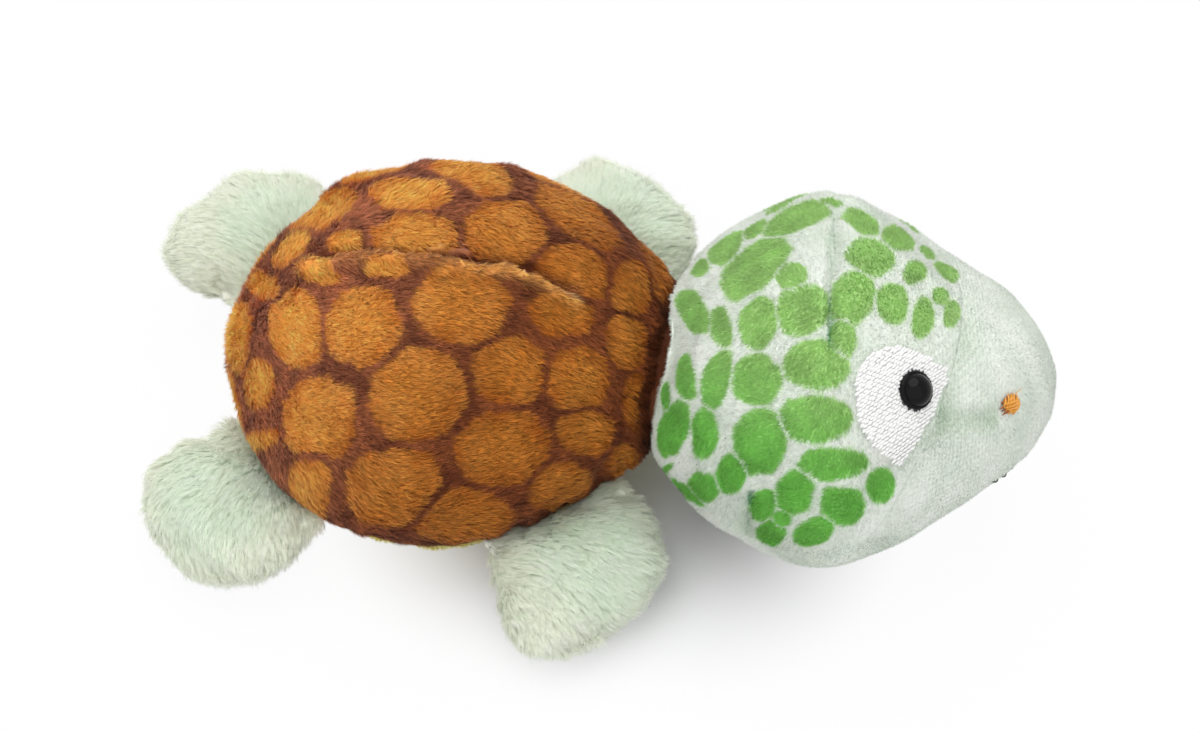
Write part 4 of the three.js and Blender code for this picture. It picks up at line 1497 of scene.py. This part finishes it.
def turnedPiece(name, profile, middle, axis, finish, sides=56):
    # a lathe-turned solid, with its profile from the bottom outwards and up to the top
    side = unit(np.cross(axis, (0, 0, 1)))
    up = np.cross(axis, side)
    turns = turnsOf(sides)
    around = np.cos(turns)[:, None] * side + np.sin(turns)[:, None] * up
    radii, heights = np.array([(0, profile[0][1])] + list(profile)).T
    rows = middle + radii[:, None, None] * around[None] + heights[:, None, None] * axis
    piece = meshPiece(name, rows.reshape(-1, 3), [gridFaces(len(rows), sides)], finish)
    mergePoles(piece)
    return piece


def makeEye(side):
    patch = fabricPiece(f"eye_patch_{side}_felt", eyePatchRows(side), eye["patchThickness"], "whiteThread")
    onHead(patch, f"eye_patch_{side}")
    lines, normals = patchStitches(side)
    satin = sewnThreads(f"eye_patch_{side}_stitches", lines, normals, 0.25, 0.16, "whiteThread")
    onHead(satin, None)

    flat, _ = seated(ontoSurface(headTree, [eye["beadAt"]]), 0.0, side)
    about = seated(ontoSurface(headTree, np.array(eye["beadAt"]) + [(-14, 0), (14, 0), (0, -16), (0, 16)]),
                   0.0, side)[1]
    middle, axis = flat[0], unit(about.mean(0))
    profile = [(eye["stemRadius"], -eye["stemLength"] - eye["beadBase"]), (eye["stemRadius"], -0.45)] + beadProfile()
    bead = turnedPiece(f"eye_bead_{side}_gloss", profile, middle + axis * eye["beadBase"], axis, "blackBead")
    onHead(bead, f"eye_bead_{side}")

    rng = np.random.default_rng(33)
    stitches = eye["rimStitches"]
    turns = turnsOf(stitches) + rng.normal(size=stitches) * 0.05
    across = unit(np.cross(axis, (0, 0, 1)))
    spoke = np.cos(turns)[:, None] * across + np.sin(turns)[:, None] * np.cross(axis, across)
    reach = eye["rimOverlap"] + rng.uniform(0.0, 0.45, stitches)
    share = np.linspace(0, 1, 5)[None, :, None]
    ends = (eye["rimRadius"] - eye["rimOverlap"]) + share * reach[:, None, None]
    lines = middle + spoke[:, None] * ends + axis * (0.66 - 0.15 * share)
    ring = sewnThreads(f"eye_ring_{side}_stitches", lines, np.broadcast_to(axis, lines.shape), 0.24, 0.13,
                       "blackThread")
    onHead(ring, None)


# Nostrils: a few slanted lengths of gold thread over one another, with a loose end. The layer underneath is a darker
# copy of the gold thread, painted shade.
nostril = {"at": (1009, 404), "halfLong": 11.5, "halfWide": 8, "bulge": 0.55,
           "layers": [("under", 55, 7, 0, 0.2, "shadedGoldThread"), ("over", 72, 9, 0.22, 0.17, "goldThread"),
                      ("cross", 20, 5, 0.42, 0.15, "goldThread")]}


def makeNostril(side):
    rng = np.random.default_rng(35)
    share = np.linspace(-1, 1, 9)
    for label, lean, lengths, above, halfThread, finish in nostril["layers"]:
        c, s = math.cos(math.radians(lean)), math.sin(math.radians(lean))
        long = nostril["halfLong"] if label != "cross" else nostril["halfWide"]
        wide = nostril["halfWide"] if label != "cross" else 0.6 * nostril["halfLong"]
        along, across = np.array([c, -s]), np.array([s, c])
        lines = []
        for place in np.linspace(-0.88, 0.88, lengths):
            reach = long * math.sqrt(1 - place ** 2) * rng.uniform(0.88, 1.12)
            bend = place * wide + rng.normal() * 0.5 * share
            pixels = np.array(nostril["at"]) + along * (share * reach + rng.normal() * 0.6)[:, None] + across * (
                bend[:, None])
            height = above + 0.15 + nostril["bulge"] * math.sqrt(1 - place ** 2) * (1 - share ** 2)
            lines.append(seated(ontoSurface(headTree, pixels), height, side)[0])
        if label == "over":
            at = np.linspace(0, 1, 9)
            loose = np.array(nostril["at"]) + along * (9 + 9 * at)[:, None] + across * (3 * at ** 2)[:, None]
            lines.append(seated(ontoSurface(headTree, loose), 0.5 + 0.5 * at, side)[0])
        lines = np.array(lines)
        widths = np.full(len(lines), halfThread)
        widths[len(lines) - (label == "over"):] = 0.06
        normals = np.array([seated(onSide(line, side), 0.0, side)[1] for line in lines])
        piece = sewnThreads(f"nostril_{side}_{label}_threads", lines, normals, widths, widths, finish, 8)
        onHead(piece, f"nostril_{side}" if label == "over" else None)


# Mouth: a running stitch in black thread under the snout, from one corner to the other
mouth = {"startShare": 0.84, "startAngle": -42, "middleShare": 0.95, "middleAngle": -90, "stitches": 12,
         "stitchShare": 0.75, "halfThread": 0.13}


def stitchesAlong(path, stitches, stitchShare, height):
    walked = walkedAlong(path)
    starts = np.arange(stitches)[:, None]
    at = (starts + 0.5 + (np.linspace(-0.5, 0.5, 7) * stitchShare)) / stitches * walked[-1]
    lines = np.stack([np.interp(at, walked, path[:, k]) for k in range(3)], -1)
    arch = height * (1 - np.linspace(-1, 1, 7) ** 2)
    return seated(lines, np.broadcast_to(arch, lines.shape[:2]))


def makeMouth():
    share = np.linspace(-1, 1, 80)
    shares = mouth["middleShare"] + (mouth["startShare"] - mouth["middleShare"]) * share ** 2
    angles = np.radians(mouth["middleAngle"] + (mouth["startAngle"] - mouth["middleAngle"]) * share)
    path, _ = seated(placedHead(headPoints(shares, angles)), 0.0)
    lines, normals = stitchesAlong(path, mouth["stitches"], mouth["stitchShare"], 0.42)
    piece = sewnThreads("mouth_threads", lines, normals, mouth["halfThread"], mouth["halfThread"], "blackThread")
    onHead(piece, "mouth_stitch")


for side in ("right", "left"):
    makeEye(side)
    makeNostril(side)
makeMouth()
print("eyes, nostrils and mouth made")


# Neck sleeve and fillings

def makeNeck():
    across = np.linspace(-neck["halfLength"], neck["halfLength"], neck["rows"])
    turns = turnsOf(neck["columns"])
    folds = 0.5 + 0.5 * np.cos(neck["gathers"] * turns + 1.3 * np.sin(3 * turns))
    radius = np.sqrt(neck["radius"] ** 2 - across ** 2)[:, None] - neck["fold"] * folds[None]
    rows = np.stack([np.broadcast_to(across[:, None], radius.shape), radius * np.cos(turns),
                     radius * np.sin(turns)], -1) + neckCentre

    def tintAt(points):
        return linear(neck["colour"]) * (1 + 0.06 * waves(points, 4, 110))[:, None]

    sleeve = fabricPiece("neck_sleeve_skin", rows, neck["fabric"], "velourBacking", tintAt)
    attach(sleeve, "neck")
    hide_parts("neck_sleeve")


filling = {"share": 0.92, "lumps": 0.25, "insideNeck": 1.6, "insideFlipper": 1.7}


def fillingPiece(name, rows, node, carrier):
    lumps = filling["lumps"] * waves(rows, 5, 120) - filling["lumps"]
    piece = meshPiece(name, swollen(rows, lumps).reshape(-1, 3), [gridFaces(*rows.shape[:2])], "fibreFilling")
    mergePoles(piece)
    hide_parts(node)
    if carrier:
        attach(piece, carrier)
    return piece


def makeFillings():
    for label, rows, middle in (("body", bodyRows, (0, 0, body["widest"])), ("head", headRows, headMiddle)):
        fillingPiece(f"{label}_filling", middle + (rows - middle) * filling["share"], f"{label}_stuffing", label)
    slope, turn = np.meshgrid(np.linspace(-math.pi / 2, math.pi / 2, 41), turnsOf(72), indexing="ij")
    ball = np.stack([np.cos(slope) * np.cos(turn), np.cos(slope) * np.sin(turn), np.sin(slope)], -1)
    ball = neckCentre + ball * (neck["radius"] - filling["insideNeck"])
    fillingPiece("neck_filling", ball, "neck_stuffing", "neck")
    for flipper in flippers:
        turned, root = flipperPlaces[flipper["name"]]
        name = flipper["name"] + "_flipper"
        rows = flipperRows(flipper, filling["insideFlipper"]) @ turned.T + root
        piece = fillingPiece(f"{name}_filling", rows, f"{name}_stuffing", None)
        tuple(root * mm)
        tuple((root + turned[:, 0] * flipperForm["bendsOver"]) * mm)
        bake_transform(piece)


makeNeck()
makeFillings()
print("neck and fillings made")


# Light, floor, the view's colours and the washers' finish

stage = {
    "reach": 3.0,
    "shadeAt": (0.028, -0.012, 0),
    "perShadeSize": (22, 26, 0),
    "skyLight": 0.6,
    # each with its strength, how wide it shines and its direction
    "lamps": [("softKey", 1.55, 60, (0.14, -0.28, -1)), ("softFill", 0.8, 100, (-0.1, 0.8, -0.65))],
}


def makeStage():
    floor = bpy.data.meshes.new("floor")
    far = stage["reach"]
    floor.from_pydata([(-far, -far, 0), (far, -far, 0), (far, far, 0), (-far, far, 0)], [], [(0, 1, 2, 3)])
    finish = Finish("paleFloor")
    marks = finish.noise(0.05, 3)
    floor.materials.append(finish.set(
        colour=finish.mix(marks, (0.82, 0.82, 0.84, 1), (0.84, 0.84, 0.85, 1)), roughness=0.9, shine=0.0))
    seenRay = finish.add("ShaderNodeLightPath", {}, {})
    glow = finish.add("ShaderNodeEmission", {}, {"Color": (1, 1, 1, 1), "Strength": 1.0})
    # the floor turns to plain white away from the shade under the turtle
    near = finish.where()
    for operation, by in (("SUBTRACT", stage["shadeAt"]), ("MULTIPLY", stage["perShadeSize"])):
        near = finish.add("ShaderNodeVectorMath", {"operation": operation}, {0: near, 1: by})
    away = finish.add("ShaderNodeVectorMath", {"operation": "LENGTH"}, {0: near}, "Value")
    pool = finish.add("ShaderNodeMapRange", {"interpolation_type": "SMOOTHSTEP"}, {
        "Value": away, "From Min": 0.28, "From Max": 1.1, "To Min": 0.0, "To Max": 0.95})
    finish.mixedWith(seenRay * pool, glow)
    piece = bpy.data.objects.new("floor", floor)
    bpy.context.scene.collection.objects.link(piece)

    world = bpy.data.worlds.new("studio")
    bpy.context.scene.world = world
    sky = Shading(world)
    camera, glossy, through = (sky.add("ShaderNodeLightPath", {}, {}, f"Is {ray} Ray")
                               for ray in ("Camera", "Glossy", "Transmission"))
    seen = camera.maths("MAXIMUM", glossy).maths("MAXIMUM", through)
    level = sky.add("ShaderNodeMapRange", {}, {"Value": seen, "To Min": stage["skyLight"], "To Max": 1.0})
    background = sky.nodes["Background"]
    sky.feed(background.inputs["Color"], (1, 1, 1, 1))
    sky.feed(background.inputs["Strength"], level)

    for name, strength, spread, toward in stage["lamps"]:
        light = bpy.data.lights.new(name, "SUN")
        light.energy = strength
        light.angle = math.radians(spread)
        lamp = bpy.data.objects.new(name, light)
        lamp.rotation_euler = Vector(toward).to_track_quat("-Z", "Y").to_euler()
        bpy.context.scene.collection.objects.link(lamp)


makeStage()
scene = bpy.context.scene
scene.view_settings.view_transform = "Standard"
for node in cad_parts.values():
    if "washer" in node.name:
        node.data.materials.clear()
        node.data.materials.append(finishes["washerPlastic"])
